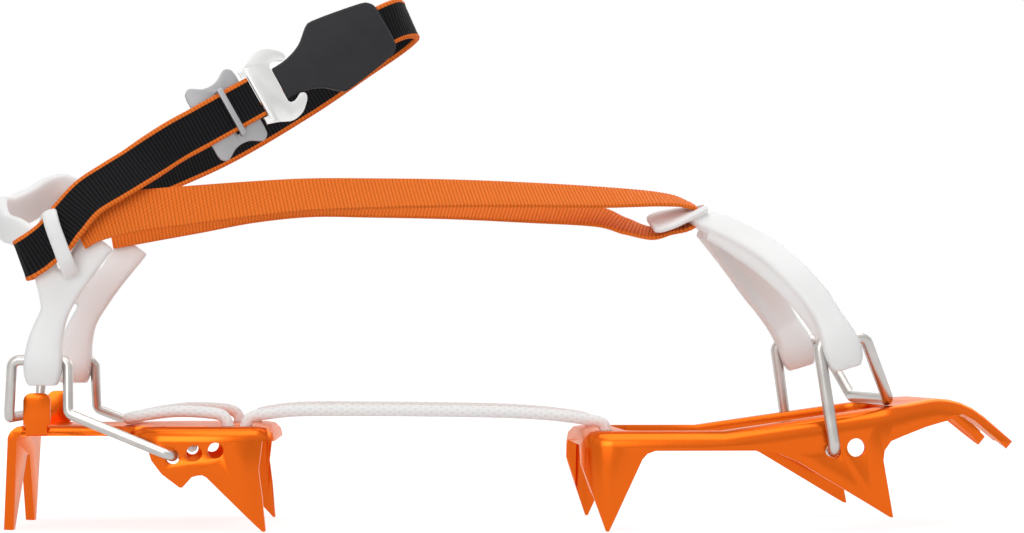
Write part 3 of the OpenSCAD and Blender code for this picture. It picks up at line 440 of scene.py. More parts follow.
def joined(name, pieces):
    make_active(pieces[0])
    for piece in pieces[1:]:
        piece.select_set(True)
    bpy.ops.object.join()
    pieces[0].name = name
    return pieces[0]


def moulded(piece, voxel=0.55 * MM, passes=6):
    """Melts overlapping forms into one moulded body with soft inner corners."""
    melt = piece.modifiers.new("melt", "REMESH")
    melt.mode = "VOXEL"
    melt.voxel_size = voxel
    melt.use_smooth_shade = True
    soften = piece.modifiers.new("soften", "SMOOTH")
    soften.factor = 0.5
    soften.iterations = passes
    apply_modifiers(piece)
    return piece


def cut_away(piece, cutter):
    cut = piece.modifiers.new("cut", "BOOLEAN")
    cut.operation = "DIFFERENCE"
    cut.solver = "EXACT"
    cut.object = cutter
    apply_modifiers(piece)
    bpy.data.objects.remove(cutter)


def wire_form(name, corners, diameter, bend):
    """A bent wire: a disc extruded along each straight and spun round each bend."""
    points = metres(corners)
    headings = [(b - a).normalized() for a, b in zip(points, points[1:])]
    deselect()
    bpy.ops.mesh.primitive_circle_add(vertices=24, radius=diameter / 2, fill_type="NGON")
    wire = bpy.context.object
    wire.name = name
    turn = Vector((0, 0, 1)).rotation_difference(headings[0]).to_matrix().to_4x4()
    turn.translation = points[0]
    wire.data.transform(turn)
    bpy.ops.object.mode_set(mode="EDIT")
    bpy.ops.mesh.select_all(action="SELECT")
    here = points[0]
    for i, heading in enumerate(headings):
        last = i == len(headings) - 1
        angle = 0 if last else heading.angle(headings[i + 1])
        stop = points[i + 1] - heading * (bend * math.tan(angle / 2))
        bpy.ops.mesh.extrude_region_move(TRANSFORM_OT_translate={"value": stop - here})
        here = stop
        if last:
            break
        axis = heading.cross(headings[i + 1]).normalized()
        centre = stop + axis.cross(heading) * bend
        bpy.ops.mesh.spin(steps=8, angle=angle, center=centre, axis=-axis)
        here = points[i + 1] + headings[i + 1] * (bend * math.tan(angle / 2))
    bpy.ops.mesh.select_all(action="SELECT")
    bpy.ops.mesh.remove_doubles(threshold=WELD)
    bpy.ops.mesh.normals_make_consistent(inside=False)
    bpy.ops.object.mode_set(mode="OBJECT")
    round_edges(wire, 0.4 * MM, 60)
    return wire


def solid_copy(node, name):
    """A welded copy of a solid, with its flat faces whole again."""
    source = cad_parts[node]
    piece = bpy.data.objects.new(name, source.data.copy())
    bpy.context.collection.objects.link(piece)
    make_active(piece)
    bpy.ops.object.mode_set(mode="EDIT")
    bpy.ops.mesh.select_all(action="SELECT")
    bpy.ops.mesh.customdata_custom_splitnormals_clear()
    bpy.ops.mesh.remove_doubles(threshold=2 * WELD)
    bpy.ops.mesh.dissolve_limited(angle_limit=math.radians(0.6))
    bpy.ops.object.mode_set(mode="OBJECT")
    return piece


def finish_piece(piece, body, slot, material, *nodes):
    """Puts a finish on a piece, and makes it move with its body in its nodes' place."""
    piece.data.materials.clear()
    piece.data.materials.append(material)
    if body:
        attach(piece, body)
    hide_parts(*nodes)


# Finishes

class Tree:
    """Short ways to add and link shader nodes."""

    def __init__(self, tree):
        self.tree = tree

    def add(self, kind, **settings):
        node = self.tree.nodes.new(kind)
        for key, value in settings.items():
            setattr(node, key, value)
        return node

    def feed(self, socket, value):
        if isinstance(value, bpy.types.NodeSocket):
            self.tree.links.new(value, socket)
        else:
            socket.default_value = value

    def math(self, operation, a, b=0.0):
        node = self.add("ShaderNodeMath", operation=operation)
        self.feed(node.inputs[0], a)
        self.feed(node.inputs[1], b)
        return node.outputs[0]

    def blend(self, factor, a, b):
        node = self.add("ShaderNodeMix", data_type="RGBA")
        self.feed(node.inputs[0], factor)
        self.feed(node.inputs[6], a)
        self.feed(node.inputs[7], b)
        return node.outputs[2]

    def noise(self, vector, scale, detail):
        node = self.add("ShaderNodeTexNoise")
        self.feed(node.inputs["Vector"], vector)
        self.feed(node.inputs["Scale"], scale)
        self.feed(node.inputs["Detail"], detail)
        return node.outputs[0]

    def between(self, value, low, high, to_low=0.0, to_high=1.0):
        node = self.add("ShaderNodeMapRange")
        self.feed(node.inputs[0], value)
        for socket, number in zip(node.inputs[1:5], (low, high, to_low, to_high)):
            self.feed(socket, number)
        return node.outputs[0]


def new_group(name, inputs, outputs):
    group = bpy.data.node_groups.new(name, "ShaderNodeTree")
    for title, kind, default in inputs:
        socket = group.interface.new_socket(title, in_out="INPUT", socket_type=kind)
        if default is not None:
            socket.default_value = default
    for title in outputs:
        group.interface.new_socket(title, in_out="OUTPUT", socket_type="NodeSocketFloat")
    tree = Tree(group)
    return group, tree, tree.add("NodeGroupInput").outputs, tree.add("NodeGroupOutput").inputs


def grain_group():
    """Fine unevenness of a surface: a slow tone and a fine height."""
    name = "Surface Grain"
    if name in bpy.data.node_groups:
        return bpy.data.node_groups[name]
    group, tree, given, out = new_group(name, [
        ("Vector", "NodeSocketVector", None), ("Tone Scale", "NodeSocketFloat", 60.0),
        ("Grain Scale", "NodeSocketFloat", 1500.0)], ["Tone", "Height"])
    tree.feed(out["Tone"], tree.noise(given["Vector"], given["Tone Scale"], 4.0))
    tree.feed(out["Height"], tree.noise(given["Vector"], given["Grain Scale"], 2.0))
    return group


def rib_group():
    """Ribs across a strap, and yarns along it, from its UV map in metres."""
    name = "Woven Ribs"
    if name in bpy.data.node_groups:
        return bpy.data.node_groups[name]
    group, tree, given, out = new_group(name, [
        ("UV", "NodeSocketVector", None), ("Pitch", "NodeSocketFloat", 1.15 * MM),
        ("Yarns", "NodeSocketFloat", 34.0)], ["Groove", "Height", "Fleck", "Yarn"])
    parts = tree.add("ShaderNodeSeparateXYZ")
    tree.feed(parts.inputs[0], given["UV"])
    phase = tree.math("DIVIDE", parts.outputs[0], given["Pitch"])
    wave = tree.math("COSINE", tree.math("MULTIPLY", phase, 2 * math.pi))
    # Groove is 1 in the hollows between ribs; the webbings darken their colour there as painted shade.
    tree.feed(out["Groove"], tree.between(wave, -1.0, -0.1, 1.0, 0.0))
    yarn = tree.math("MULTIPLY", parts.outputs[1], given["Yarns"])
    slant = tree.math("ADD", yarn, tree.math("MULTIPLY", phase, 0.5))
    weave = tree.math("SINE", tree.math("MULTIPLY", slant, 2 * math.pi))
    # A brightness factor that follows the weave's relief: painted highlight on raised yarns, painted shade on sunken
    # ones.
    tree.feed(out["Yarn"], tree.between(weave, -1.0, 1.0, 0.92, 1.05))
    rise = tree.math("ADD", tree.math("MULTIPLY", wave, 0.4), tree.math("MULTIPLY", weave, 0.5))
    tree.feed(out["Height"], rise)
    tree.feed(out["Fleck"], tree.noise(given["UV"], 900.0, 2.0))
    return group


def braid_group():
    """Crossing strands of a braided cord, from its UV map in metres."""
    name = "Braid"
    if name in bpy.data.node_groups:
        return bpy.data.node_groups[name]
    group, tree, given, out = new_group(name, [
        ("UV", "NodeSocketVector", None), ("Pitch", "NodeSocketFloat", BRAID_PITCH * MM),
        ("Strands", "NodeSocketFloat", BRAID_STRANDS)], ["Groove", "Height"])
    parts = tree.add("ShaderNodeSeparateXYZ")
    tree.feed(parts.inputs[0], given["UV"])
    along = tree.math("DIVIDE", parts.outputs[0], given["Pitch"])
    around = tree.math("MULTIPLY", parts.outputs[1], given["Strands"])
    waves = []
    for turn in ("ADD", "SUBTRACT"):
        waves.append(tree.math("COSINE", tree.math("MULTIPLY", tree.math(turn, around, along), 2 * math.pi)))
    height = tree.math("MAXIMUM", waves[0], waves[1])
    tree.feed(out["Height"], height)
    # Groove is 1 between the strands; the cord darkens its colour there as painted shade.
    tree.feed(out["Groove"], tree.between(height, -0.6, 0.3, 1.0, 0.0))
    return group


def new_material(name):
    material = bpy.data.materials.new(name)
    material.use_nodes = True
    tree = Tree(material.node_tree)
    return material, tree, material.node_tree.nodes["Principled BSDF"]


def grain_in(tree, tone_scale, grain_scale):
    node = tree.add("ShaderNodeGroup", node_tree=grain_group())
    place = tree.add("ShaderNodeTexCoord")
    tree.feed(node.inputs["Vector"], place.outputs["Object"])
    tree.feed(node.inputs["Tone Scale"], tone_scale)
    tree.feed(node.inputs["Grain Scale"], grain_scale)
    return node.outputs["Tone"], node.outputs["Height"]


def bump_in(tree, shader, height, strength, distance):
    bump = tree.add("ShaderNodeBump")
    tree.feed(bump.inputs["Strength"], strength)
    tree.feed(bump.inputs["Distance"], distance)
    tree.feed(bump.inputs["Height"], height)
    tree.feed(shader.inputs["Normal"], bump.outputs[0])


def rgba(colour, factor=1.0):
    return tuple(c * factor for c in colour) + (1.0,)


def finish_of(name, colour, metallic, rough, tone_scale, grain_scale, shift, bump, coat=0.0,
              subsurface=0.0, specular=0.5, edge=(1.0, 1.0, 1.0, 1.0)):
    """A finish in one colour with a slow tone, an uneven roughness and a fine grain."""
    if name in bpy.data.materials:
        return bpy.data.materials[name]
    material, tree, shader = new_material(name)
    tone, height = grain_in(tree, tone_scale, grain_scale)
    tree.feed(shader.inputs["Base Color"], tree.blend(
        tree.between(tone, 0.3, 0.7), rgba(colour, 1 - shift), rgba(colour, 1.0)))
    tree.feed(shader.inputs["Roughness"], tree.between(tone, 0.25, 0.75, rough * 0.85, rough * 1.15))
    shader.inputs["Metallic"].default_value = metallic
    shader.inputs["Coat Weight"].default_value = coat
    shader.inputs["Coat Roughness"].default_value = 0.12
    shader.inputs["Specular IOR Level"].default_value = specular
    shader.inputs["Specular Tint"].default_value = edge
    if subsurface:
        shader.inputs["Subsurface Weight"].default_value = subsurface
        shader.inputs["Subsurface Radius"].default_value = (1.0, 0.95, 0.9)
        shader.inputs["Subsurface Scale"].default_value = 3 * MM
    bump_in(tree, shader, height, bump, 0.05 * MM)
    return material


def anodised():
    return finish_of(
        "anodised_orange", colours().anodised, metallic=0.95, rough=0.24,
        tone_scale=45.0, grain_scale=2600.0, shift=0.06, bump=0.03, coat=0.12, edge=(1.0, 0.5, 0.25, 1.0))


def drawn_steel():
    return finish_of(
        "drawn_steel", colours().steel, metallic=1.0, rough=0.33,
        tone_scale=160.0, grain_scale=1800.0, shift=0.12, bump=0.08)


def milky_plastic():
    return finish_of(
        "milky_plastic", colours().plastic, metallic=0.0, rough=0.42,
        tone_scale=30.0, grain_scale=1200.0, shift=0.03, bump=0.03, subsurface=0.35)


def satin_alloy():
    return finish_of(
        "satin_alloy", colours().satin, metallic=1.0, rough=0.3,
        tone_scale=90.0, grain_scale=2400.0, shift=0.06, bump=0.05)


def matte_alloy():
    return finish_of(
        "matte_alloy", colours().matte, metallic=0.9, rough=0.5,
        tone_scale=90.0, grain_scale=2400.0, shift=0.08, bump=0.08)


def charcoal():
    return finish_of(
        "charcoal_tab", colours().charcoal, metallic=0.0, rough=0.55,
        tone_scale=120.0, grain_scale=2200.0, shift=0.25, bump=0.2, specular=0.25)


def webbing(name, two_tone):
    """Ribbed webbing, in orange, or black between orange edges, with painted shade in the grooves between ribs and
    painted highlight and shade on the yarns.
    """
    if name in bpy.data.materials:
        return bpy.data.materials[name]
    material, tree, shader = new_material(name)
    node = tree.add("ShaderNodeGroup", node_tree=rib_group())
    place = tree.add("ShaderNodeUVMap")
    tree.feed(node.inputs["UV"], place.outputs[0])
    tree.feed(node.inputs["Pitch"], sizes().rib_pitch)
    # Painted shade: the orange is darker, 0.7 of its colour, in the grooves between ribs.
    orange = tree.blend(node.outputs["Groove"], rgba(colours().web_orange), rgba(colours().web_orange, 0.7))
    if two_tone:
        # Painted highlight and shade: the black ribs are lightened to 1.5 times the colour, the grooves shaded to
        # 0.35 of it.
        black = tree.blend(node.outputs["Groove"], rgba(colours().web_black, 1.5), rgba(colours().web_black, 0.35))
        parts = tree.add("ShaderNodeSeparateXYZ")
        tree.feed(parts.inputs[0], place.outputs[0])
        turn = tree.math("COSINE", tree.math("MULTIPLY", parts.outputs[1], 2 * math.pi))
        edge = tree.between(tree.math("ABSOLUTE", turn), 0.80, 0.83)
        orange = tree.blend(edge, black, orange)
    # Random tone from the fleck, times the yarn factor, which is painted highlight and shade on the weave.
    fleck_and_weave_shade = tree.between(node.outputs["Fleck"], 0.3, 0.7, 0.86, 1.08)
    fleck_and_weave_shade = tree.math("MULTIPLY", fleck_and_weave_shade, node.outputs["Yarn"])
    shade = tree.add("ShaderNodeMix", data_type="RGBA", blend_type="MULTIPLY")
    shade.inputs[0].default_value = 1.0
    tree.feed(shade.inputs[6], orange)
    tree.feed(shade.inputs[7], fleck_and_weave_shade)
    tree.feed(shader.inputs["Base Color"], shade.outputs[2])
    tree.feed(shader.inputs["Roughness"], tree.between(node.outputs["Groove"], 0.0, 1.0, 0.62, 0.9))
    shader.inputs["Specular IOR Level"].default_value = 0.12
    bump_in(tree, shader, node.outputs["Height"], 0.5, 0.08 * MM)
    return material


def braided():
    name = "braided_cord"
    if name in bpy.data.materials:
        return bpy.data.materials[name]
    material, tree, shader = new_material(name)
    node = tree.add("ShaderNodeGroup", node_tree=braid_group())
    place = tree.add("ShaderNodeUVMap")
    tree.feed(node.inputs["UV"], place.outputs[0])
    # Painted shade: the cord is darker, 0.9 of its colour, in the grooves between the braid's strands.
    tree.feed(shader.inputs["Base Color"], tree.blend(
        node.outputs["Groove"], rgba(colours().cord), rgba(colours().cord, 0.9)))
    tree.feed(shader.inputs["Roughness"], tree.between(node.outputs["Groove"], 0.0, 1.0, 0.7, 0.9))
    shader.inputs["Specular IOR Level"].default_value = 0.2
    bump_in(tree, shader, node.outputs["Height"], 0.25, 0.06 * MM)
    return material


# Pieces

class CRAMPON_OT_frames(bpy.types.Operator):
    """Bent orange sheets with glossy rounded edges"""

    bl_idname = "crampon.frames"
    bl_label = "Frames"

    def execute(self, context):
        for node, body in (("toe_frame", "toe_section"), ("heel_frame", "heel_section")):
            sheet = solid_copy(node, node.replace("frame", "sheet"))
            round_edges(sheet, sizes().sheet_edge, 38)
            finish_piece(sheet, body, "orange_metal", anodised(), node)
        return {"FINISHED"}


class CRAMPON_OT_bails(bpy.types.Operator):
    """Drawn steel wires that run in the frames' holes and carry the cages"""

    bl_idname = "crampon.bails"
    bl_label = "Bails"

    def execute(self, context):
        rows = (
            ("front", FRONT_BAIL, sizes().front_wire, FRONT_BEND * MM),
            ("heel", HEEL_BAIL, sizes().heel_wire, HEEL_BEND * MM))
        for end, half, diameter, bend in rows:
            corners = mirrored(half) + list(reversed(half))
            wire = wire_form(f"{end}_bail_wire", corners, diameter, bend)
            finish_piece(wire, f"{end}_binding", "wire", drawn_steel(), f"{end}_bail")
        return {"FINISHED"}


class CRAMPON_OT_toe_cage(bpy.types.Operator):
    """Milky arch on the front bail, with the tongue that holds the toe strap"""

    bl_idname = "crampon.toe_cage"
    bl_label = "Toe Cage"

    def execute(self, context):
        across = ARCH_HALF_ACROSS + [ARCH_TOP_ACROSS] + mirrored(reversed(ARCH_HALF_ACROSS))
        widths = ARCH_HALF_WIDTH + [ARCH_TOP_WIDTH] + ARCH_HALF_WIDTH[::-1]
        thicks = ARCH_HALF_THICK + [ARCH_TOP_THICK] + ARCH_HALF_THICK[::-1]
        forms = [arm("toe_cage_moulding", ARCH, across, widths, thicks)]
        forms += [self.rim(across, widths, side) for side in (-1, 1)]
        forms.append(self.tongue())
        cage = moulded(joined("toe_cage_moulding", forms))
        cut_away(cage, self.slot())
        smooth_shade(cage)
        finish_piece(cage, "front_binding", "cage", milky_plastic(), "toe_cage")
        return {"FINISHED"}

    def rim(self, across, widths, side):
        """The lower edge of one arm, rolled in towards the boot."""
        last = len(RIM_WIDTH)
        span = slice(0, last) if side < 0 else slice(last + 1, None)
        rim_widths = RIM_WIDTH if side < 0 else RIM_WIDTH[::-1]
        ways = [Vector(a).normalized() for a in across[span]]
        rings = []
        stations = walk(metres(ARCH[span]), ARM_STEP * MM, ways)
        turn = math.radians(RIM_TURN)
        for s in stations:
            width = spline(rim_widths, s.at) * MM
            inward = s.out if s.out.y * side < 0 else -s.out
            way = s.side * math.cos(turn) - inward * math.sin(turn)
            inset = (spline(widths[span], s.at) / 2 - RIM_INSET) * MM
            edge = s.point - s.side * inset + inward * RIM_DEPTH * MM
            place = Station(edge - way * width / 2, s.heading, s.distance, way, s.at)
            rings.append(rounded_ring(place, width, RIM_THICK * MM))
        return sleeve_over("rim", rings, [s.distance for s in stations])

    def lie(self):
        """Where the tongue's own axes lie on the part."""
        return Matrix.Translation(Vector(TONGUE) * MM) @ Matrix.Rotation(math.radians(-TONGUE_TILT), 4, "Y")

    def tongue(self):
        spine = [(x, 0, 0) for x, width, roll in TONGUE_ROWS]
        across = [(0, math.cos(math.radians(roll)), math.sin(math.radians(roll))) for x, width, roll in TONGUE_ROWS]
        plate = arm("tongue", spine, across, [row[1] for row in TONGUE_ROWS], [TONGUE_THICK] * len(spine))
        plate.data.transform(self.lie())
        return plate

    def slot(self):
        deselect()
        bpy.ops.mesh.primitive_cube_add(
            size=1, scale=[side * MM for side in SLOT_SIZE], location=(SLOT_SHIFT * MM, 0, 0))
        bpy.ops.object.transform_apply()
        box = bpy.context.object
        round_edges(box, 0.6 * MM, 60, 4)
        box.data.transform(self.lie() @ Matrix.Rotation(math.radians(SLOT_ROLL), 4, "X"))
        return box


class CRAMPON_OT_heel_cage(bpy.types.Operator):
    """Milky forked legs on the heel bail, the band round the heel and the bar over the ankle strap"""

    bl_idname = "crampon.heel_cage"
    bl_label = "Heel Cage"

    def execute(self, context):
        thick = [sizes().cage_thick / MM] * len(HEEL_BAND)
        rows = len(BRIDGE)
        forms = [arm("heel_cage_moulding", HEEL_BAND, HEEL_BAND_ACROSS, HEEL_BAND_WIDTH, thick)]
        for leg in (LEG_RIGHT, LEG_LEFT):
            forms.append(arm("leg", leg, [LEG_ACROSS] * len(leg), LEG_WIDTH, LEG_THICK))
        forms.append(arm("bridge", BRIDGE, [BRIDGE_ACROSS] * rows, [BRIDGE_WIDTH] * rows, [BRIDGE_THICK] * rows))
        cage = moulded(joined("heel_cage_moulding", forms))
        smooth_shade(cage)
        finish_piece(cage, "heel_binding", "cage", milky_plastic(), "heel_cage")
        return {"FINISHED"}


def strap_ring(station, bead):
    """A band's outline across its route: flat faces with ribs, and round edges that may be thicker."""
    turns = 28
    square = 7
    bead_width = 0.7 * MM
    half = sizes().web_width / 2
    rib = sizes().rib_height * math.cos(2 * math.pi * station.distance / sizes().rib_pitch)
    ring = []
    for k in range(turns):
        a = 2 * math.pi * k / turns
        y = math.cos(a)
        rise = (1 - abs(y) ** square) ** (1 / square)
        inset = (1 - abs(y)) * half
        roll = 1 + bead * math.exp(-((inset - bead_width) / bead_width) ** 2)
        z = math.copysign(rise * (sizes().web_thick / 2 * roll + rib * rise), math.sin(a))
        if k in (0, turns // 2):
            z = 0.0
        ring.append(station.point + station.side * (half * y) + station.out * z)
    return ring


def strap(name, stations, bead=0.0):
    rings = [strap_ring(s, bead) for s in stations]
    piece = sleeve_over(name, rings, [s.distance for s in stations])
    smooth_shade(piece, 60)
    return piece


class CRAMPON_OT_toe_strap(bpy.types.Operator):
    """Orange strap from the heel cage over the toe cage's tongue, through its slot and back"""

    bl_idname = "crampon.toe_strap"
    bl_label = "Toe Strap"

    def execute(self, context):
        loop = [self.on_loop(x, y, z, roll) for x, y, z, roll, lean in LOOP]
        route = RIGHT_END + RIGHT_RUN + loop + list(reversed(LEFT_RUN)) + list(reversed(LEFT_END))
        across = self.ways(UPRIGHT, LEAN_MID, 6) + self.ways(LEAN_MID, LEAN_HALF, 5)[1:-1]
        leans = [math.radians(row[4]) for row in LOOP]
        across += [(0, math.cos(lean), math.sin(lean)) for lean in leans]
        across += self.ways(LEAN_HALF, LEAN_MID, 5)[1:-1] + self.ways(LEAN_MID, UPRIGHT, 5)
        ways = [Vector(w).normalized() for w in across]
        stations = walk(metres(route), sizes().rib_pitch / STEPS_A_RIB, ways)
        middle = len(stations) // 2
        cuts = [0, len(stations) - 1]
        for seam in (FRONT_SEAM_X * MM, HEEL_SEAM_X * MM):
            for low, high in ((0, middle), (middle, len(stations))):
                cuts.append(min(range(low, high), key=lambda i: abs(stations[i].point.x - seam)))
        cuts.sort()
        spans = list(zip(cuts, cuts[1:]))
        names = ("right_end", "right_middle", "front", "left_middle", "left_end")
        nodes = ("right_toe_strap_end", "right_toe_strap", "toe_strap_loop", "left_toe_strap", "left_toe_strap_end")
        for name, node, (low, high) in zip(names, nodes, spans):
            piece = strap(f"toe_strap_{name}", stations[low:high + 1])
            finish_piece(piece, None, "orange_webbing", webbing("ribbed_orange", False), node)
            self.bend(piece, name)
        return {"FINISHED"}

    def on_loop(self, x, y, z, roll):
        """A point of the loop, turned with the tongue about its middle."""
        return tuple(Vector(TONGUE) + Matrix.Rotation(math.radians(roll), 3, "X") @ Vector((x, y, z)))

    def ways(self, start, end, count):
        """Even turns of the strap's width from one lie to another."""
        shares = [i / (count - 1) for i in range(count)]
        return [tuple(a * (1 - t) + b * t for a, b in zip(start, end)) for t in shares]

    def bend(self, piece, name):
        """Bakes the stretch's placement into its mesh; every stretch is treated the same and none turns with a body.
        """
        if name == "front":
            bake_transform(piece)
        elif "middle" in name:
            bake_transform(piece)
        else:
            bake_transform(piece)


class CRAMPON_OT_ankle_strap(bpy.types.Operator):
    """Black strap with rolled orange edges, in two lengths that the buckle joins"""

    bl_idname = "crampon.ankle_strap"
    bl_label = "Ankle Strap"

    def execute(self, context):
        right = ANKLE_RIGHT + [ankle_point(along, 0) for along in (-20, -10, 0, 10.05)]
        left = [ankle_point(along, -2.2) for along in (30, 51)] + ANKLE_LEFT
        rows = (("right", right, ANKLE_RIGHT_ACROSS), ("left", left, ANKLE_LEFT_ACROSS))
        for side, route, across in rows:
            ways = [Vector(a).normalized() for a in across]
            stations = walk(metres(route), sizes().rib_pitch / STEPS_A_RIB, ways)
            piece = strap(f"ankle_strap_{side}_web", stations, sizes().edge_bead)
            finish_piece(
                piece, "heel_binding", "black_webbing", webbing("ribbed_black", True), f"ankle_strap_{side}")
        return {"FINISHED"}


class CRAMPON_OT_link_cord(bpy.types.Operator):
    """Braided lacing cord between the frames, and the knot of its two ends"""

    bl_idname = "crampon.link_cord"
    bl_label = "Lacing Cord"

    def execute(self, context):
        radius = sizes().cord_diameter / 2
        turns = 24
        stations = walk(metres(there_and_back(CORD_HALF)), 0.45 * MM)
        rings = [round_ring(s, radius - BRAID_RISE * MM, turns, self.strands) for s in stations]
        cord = sleeve_over("lacing_cord", rings, [s.distance for s in stations])
        smooth_shade(cord, 70)
        finish_piece(cord, None, "cord", braided(), "link_cord")
        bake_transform(cord)
        finish_piece(self.knot(), "toe_section", "cord", braided(), "cord_knot")
        return {"FINISHED"}

    def strands(self, distance, share):
        """Rise of the braid's strands over the cord."""
        along = distance / (BRAID_PITCH * MM)
        waves = [math.cos(2 * math.pi * (BRAID_STRANDS * share + turn * along)) for turn in (1, -1)]
        return BRAID_RISE * MM * max(waves)

    def knot(self):
        """Wraps round the cord's ends, tight enough to lie flat."""
        steps = 16
        width, thick = KNOT_CORD
        x, y, z = KNOT_CENTRE
        path = []
        for i in range(KNOT_WRAPS * steps + 1):
            turn = i / steps
            a = 2 * math.pi * turn
            path.append((
                x + KNOT_REACH * math.cos(a), y + KNOT_PITCH * (turn - KNOT_WRAPS / 2), z + KNOT_REACH * math.sin(a)))
        stations = walk(metres(path), 0.7 * MM, [Vector((0, 1, 0))] * len(path))
        rings = [rounded_ring(s, width * MM, thick * MM, 16, 2.4) for s in stations]
        piece = sleeve_over("lacing_knot", rings, [s.distance for s in stations])
        smooth_shade(piece, 70)
        return piece


class CRAMPON_OT_buckle(bpy.types.Operator):
    """Winged slider, hook plate and pull tab of the ankle strap"""

    bl_idname = "crampon.buckle"
    bl_label = "Buckle"

    def execute(self, context):
        rows = (
            ("buckle_slider", "winged_slider", "heel_binding", "buckle", matte_alloy(), 0.3),
            ("buckle_hook", "hook_plate", "hook", "buckle", satin_alloy(), 0.35),
            ("pull_tab", "tab_moulding", "heel_binding", "tab", charcoal(), 0.6))
        for node, name, body, slot, material, edge in rows:
            piece = solid_copy(node, name)
            round_edges(piece, edge * MM, 38, 3)
            finish_piece(piece, body, slot, material, node)
        return {"FINISHED"}


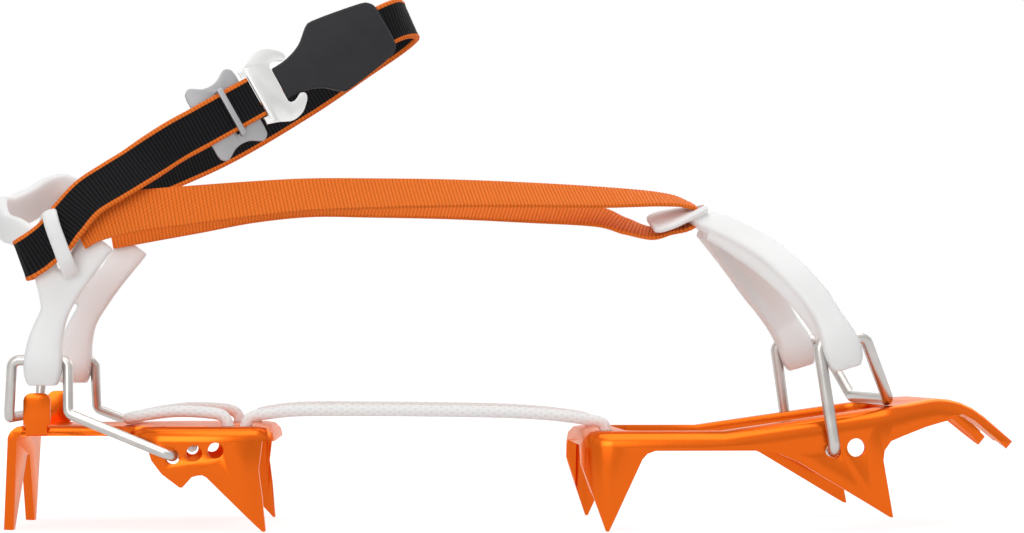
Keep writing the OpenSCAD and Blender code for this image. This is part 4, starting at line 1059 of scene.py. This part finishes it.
class CRAMPON_OT_stage(bpy.types.Operator):
    """Pale floor, soft light and the photograph's camera"""

    bl_idname = "crampon.stage"
    bl_label = "Stage"

    def execute(self, context):
        scene = context.scene
        scene.view_settings.view_transform = "Standard"
        self.floor(scene.crampon_stage)
        self.world(scene, scene.crampon_stage)
        self.lamps(scene.crampon_stage)
        self.camera(scene)
        return {"FINISHED"}

    def seen_directly(self, tree):
        """1 for what the camera, a reflection or glass sees."""
        path = tree.add("ShaderNodeLightPath")
        seen = tree.math("MAXIMUM", path.outputs["Is Camera Ray"], path.outputs["Is Glossy Ray"])
        return tree.math("MAXIMUM", seen, path.outputs["Is Transmission Ray"])

    def floor(self, stage):
        """Grey paper that bounces light, shown white with the part's shadow on it."""
        deselect()
        bpy.ops.mesh.primitive_plane_add(size=stage.floor_size, location=(0, 0, CAD_BOX[0][2] - 0.05 * MM))
        floor = bpy.context.object
        floor.name = "floor"
        material, tree, shader = new_material("pale_floor")
        shader.inputs["Base Color"].default_value = (0.85, 0.85, 0.85, 1)
        shader.inputs["Roughness"].default_value = 1.0
        shader.inputs["Specular IOR Level"].default_value = 0.0
        paper = tree.add("ShaderNodeBsdfDiffuse")
        paper.inputs[0].default_value = (0.3, 0.3, 0.3, 1)
        glow = tree.add("ShaderNodeEmission")
        glow.inputs[0].default_value = (1, 1, 1, 1)
        place = tree.add("ShaderNodeTexCoord")
        reach = tree.add("ShaderNodeVectorMath", operation="LENGTH")
        tree.feed(reach.inputs[0], place.outputs["Object"])
        tree.feed(glow.inputs[1], tree.between(reach.outputs["Value"], 0.25, 0.55, 0.85, 1.0))
        lit = tree.add("ShaderNodeAddShader")
        tree.feed(lit.inputs[0], paper.outputs[0])
        tree.feed(lit.inputs[1], glow.outputs[0])
        pick = tree.add("ShaderNodeMixShader")
        tree.feed(pick.inputs[0], self.seen_directly(tree))
        tree.feed(pick.inputs[1], shader.outputs[0])
        tree.feed(pick.inputs[2], lit.outputs[0])
        tree.feed(material.node_tree.nodes["Material Output"].inputs[0], pick.outputs[0])
        floor.data.materials.append(material)

    def world(self, scene, stage):
        """Even light, white where it is seen, and dimmer where metal mirrors the room in front."""
        world = bpy.data.worlds.new("studio")
        world.use_nodes = True
        scene.world = world
        tree = Tree(world.node_tree)
        back = world.node_tree.nodes["Background"]
        back.inputs[0].default_value = (1, 1, 1, 1)
        path = tree.add("ShaderNodeLightPath")
        place = tree.add("ShaderNodeTexCoord")
        parts = tree.add("ShaderNodeSeparateXYZ")
        tree.feed(parts.inputs[0], place.outputs["Generated"])
        above = tree.between(parts.outputs["Z"], 0.0, 0.5, stage.room_dark, 1.0)
        behind = tree.between(parts.outputs["Y"], -0.6, 0.3, 0.0, 1.0)
        mirror_light = tree.math("MAXIMUM", above, behind)
        seen = tree.between(self.seen_directly(tree), 0.0, 1.0, stage.world_light, 1.0)
        dimmed = tree.math("MULTIPLY", path.outputs["Is Glossy Ray"], tree.math("SUBTRACT", 1.0, mirror_light))
        tree.feed(back.inputs[1], tree.math("SUBTRACT", seen, dimmed))

    def lamps(self, stage):
        rows = (
            ("key", (0.05, -0.15, 0.85), stage.key_power, 0.9),
            ("front", (-0.45, -1.1, 0.55), stage.front_power, 0.7),
            ("rim", (0.5, 0.8, 0.6), stage.rim_power, 0.6))
        for name, place, power, size in rows:
            deselect()
            bpy.ops.object.light_add(type="AREA", location=place)
            lamp = bpy.context.object
            lamp.name = name
            lamp.data.energy = power
            lamp.data.size = size
            aim = Vector((0, 0, 0.06)) - Vector(place)
            lamp.rotation_euler = aim.to_track_quat("-Z", "Y").to_euler()

    def camera(self, scene):
        deselect()
        across = (FRAME_WIDTH / 2 - STRAIGHT_AHEAD[0]) / FOCAL_PX
        rise = (STRAIGHT_AHEAD[1] - FRAME_HEIGHT / 2) / FOCAL_PX
        yaw = math.atan(across)
        pitch = math.atan(rise * math.cos(yaw))
        bpy.ops.object.camera_add(location=[c * MM for c in CAMERA_MM])
        camera = bpy.context.object
        camera.name = "photo_camera"
        camera.rotation_euler = (math.pi / 2 + pitch, 0, -yaw)
        camera.data.sensor_fit = "HORIZONTAL"
        camera.data.sensor_width = SENSOR_MM
        camera.data.lens = FOCAL_PX * SENSOR_MM / FRAME_WIDTH
        camera.data.clip_start = 0.01
        scene.camera = camera


class CRAMPON_PT_pieces(bpy.types.Panel):
    """Sizes, colours and pieces of the crampon"""

    bl_label = "Crampon"
    bl_idname = "CRAMPON_PT_pieces"
    bl_space_type = "VIEW_3D"
    bl_region_type = "UI"
    bl_category = "Crampon"

    def draw(self, context):
        for operator in OPERATORS:
            self.layout.operator(operator.bl_idname)
        for group in (context.scene.crampon_sizes, context.scene.crampon_colours, context.scene.crampon_stage):
            box = self.layout.box()
            for name in group.__annotations__:
                box.prop(group, name)


OPERATORS = (
    CRAMPON_OT_stage, CRAMPON_OT_link_cord, CRAMPON_OT_frames, CRAMPON_OT_bails, CRAMPON_OT_toe_cage,
    CRAMPON_OT_heel_cage, CRAMPON_OT_toe_strap, CRAMPON_OT_ankle_strap, CRAMPON_OT_buckle)
GROUPS = (CramponSizes, CramponColours, CramponStage)


def register():
    for item in GROUPS + OPERATORS + (CRAMPON_PT_pieces,):
        bpy.utils.register_class(item)
    bpy.types.Scene.crampon_sizes = bpy.props.PointerProperty(type=CramponSizes)
    bpy.types.Scene.crampon_colours = bpy.props.PointerProperty(type=CramponColours)
    bpy.types.Scene.crampon_stage = bpy.props.PointerProperty(type=CramponStage)


def unregister():
    del bpy.types.Scene.crampon_stage
    del bpy.types.Scene.crampon_colours
    del bpy.types.Scene.crampon_sizes
    for item in reversed(GROUPS + OPERATORS + (CRAMPON_PT_pieces,)):
        bpy.utils.unregister_class(item)


def main():
    register()
    for operator in OPERATORS:
        group, name = operator.bl_idname.split(".")
        getattr(getattr(bpy.ops, group), name)()
    deselect()


if __name__ == "__main__":
    main()
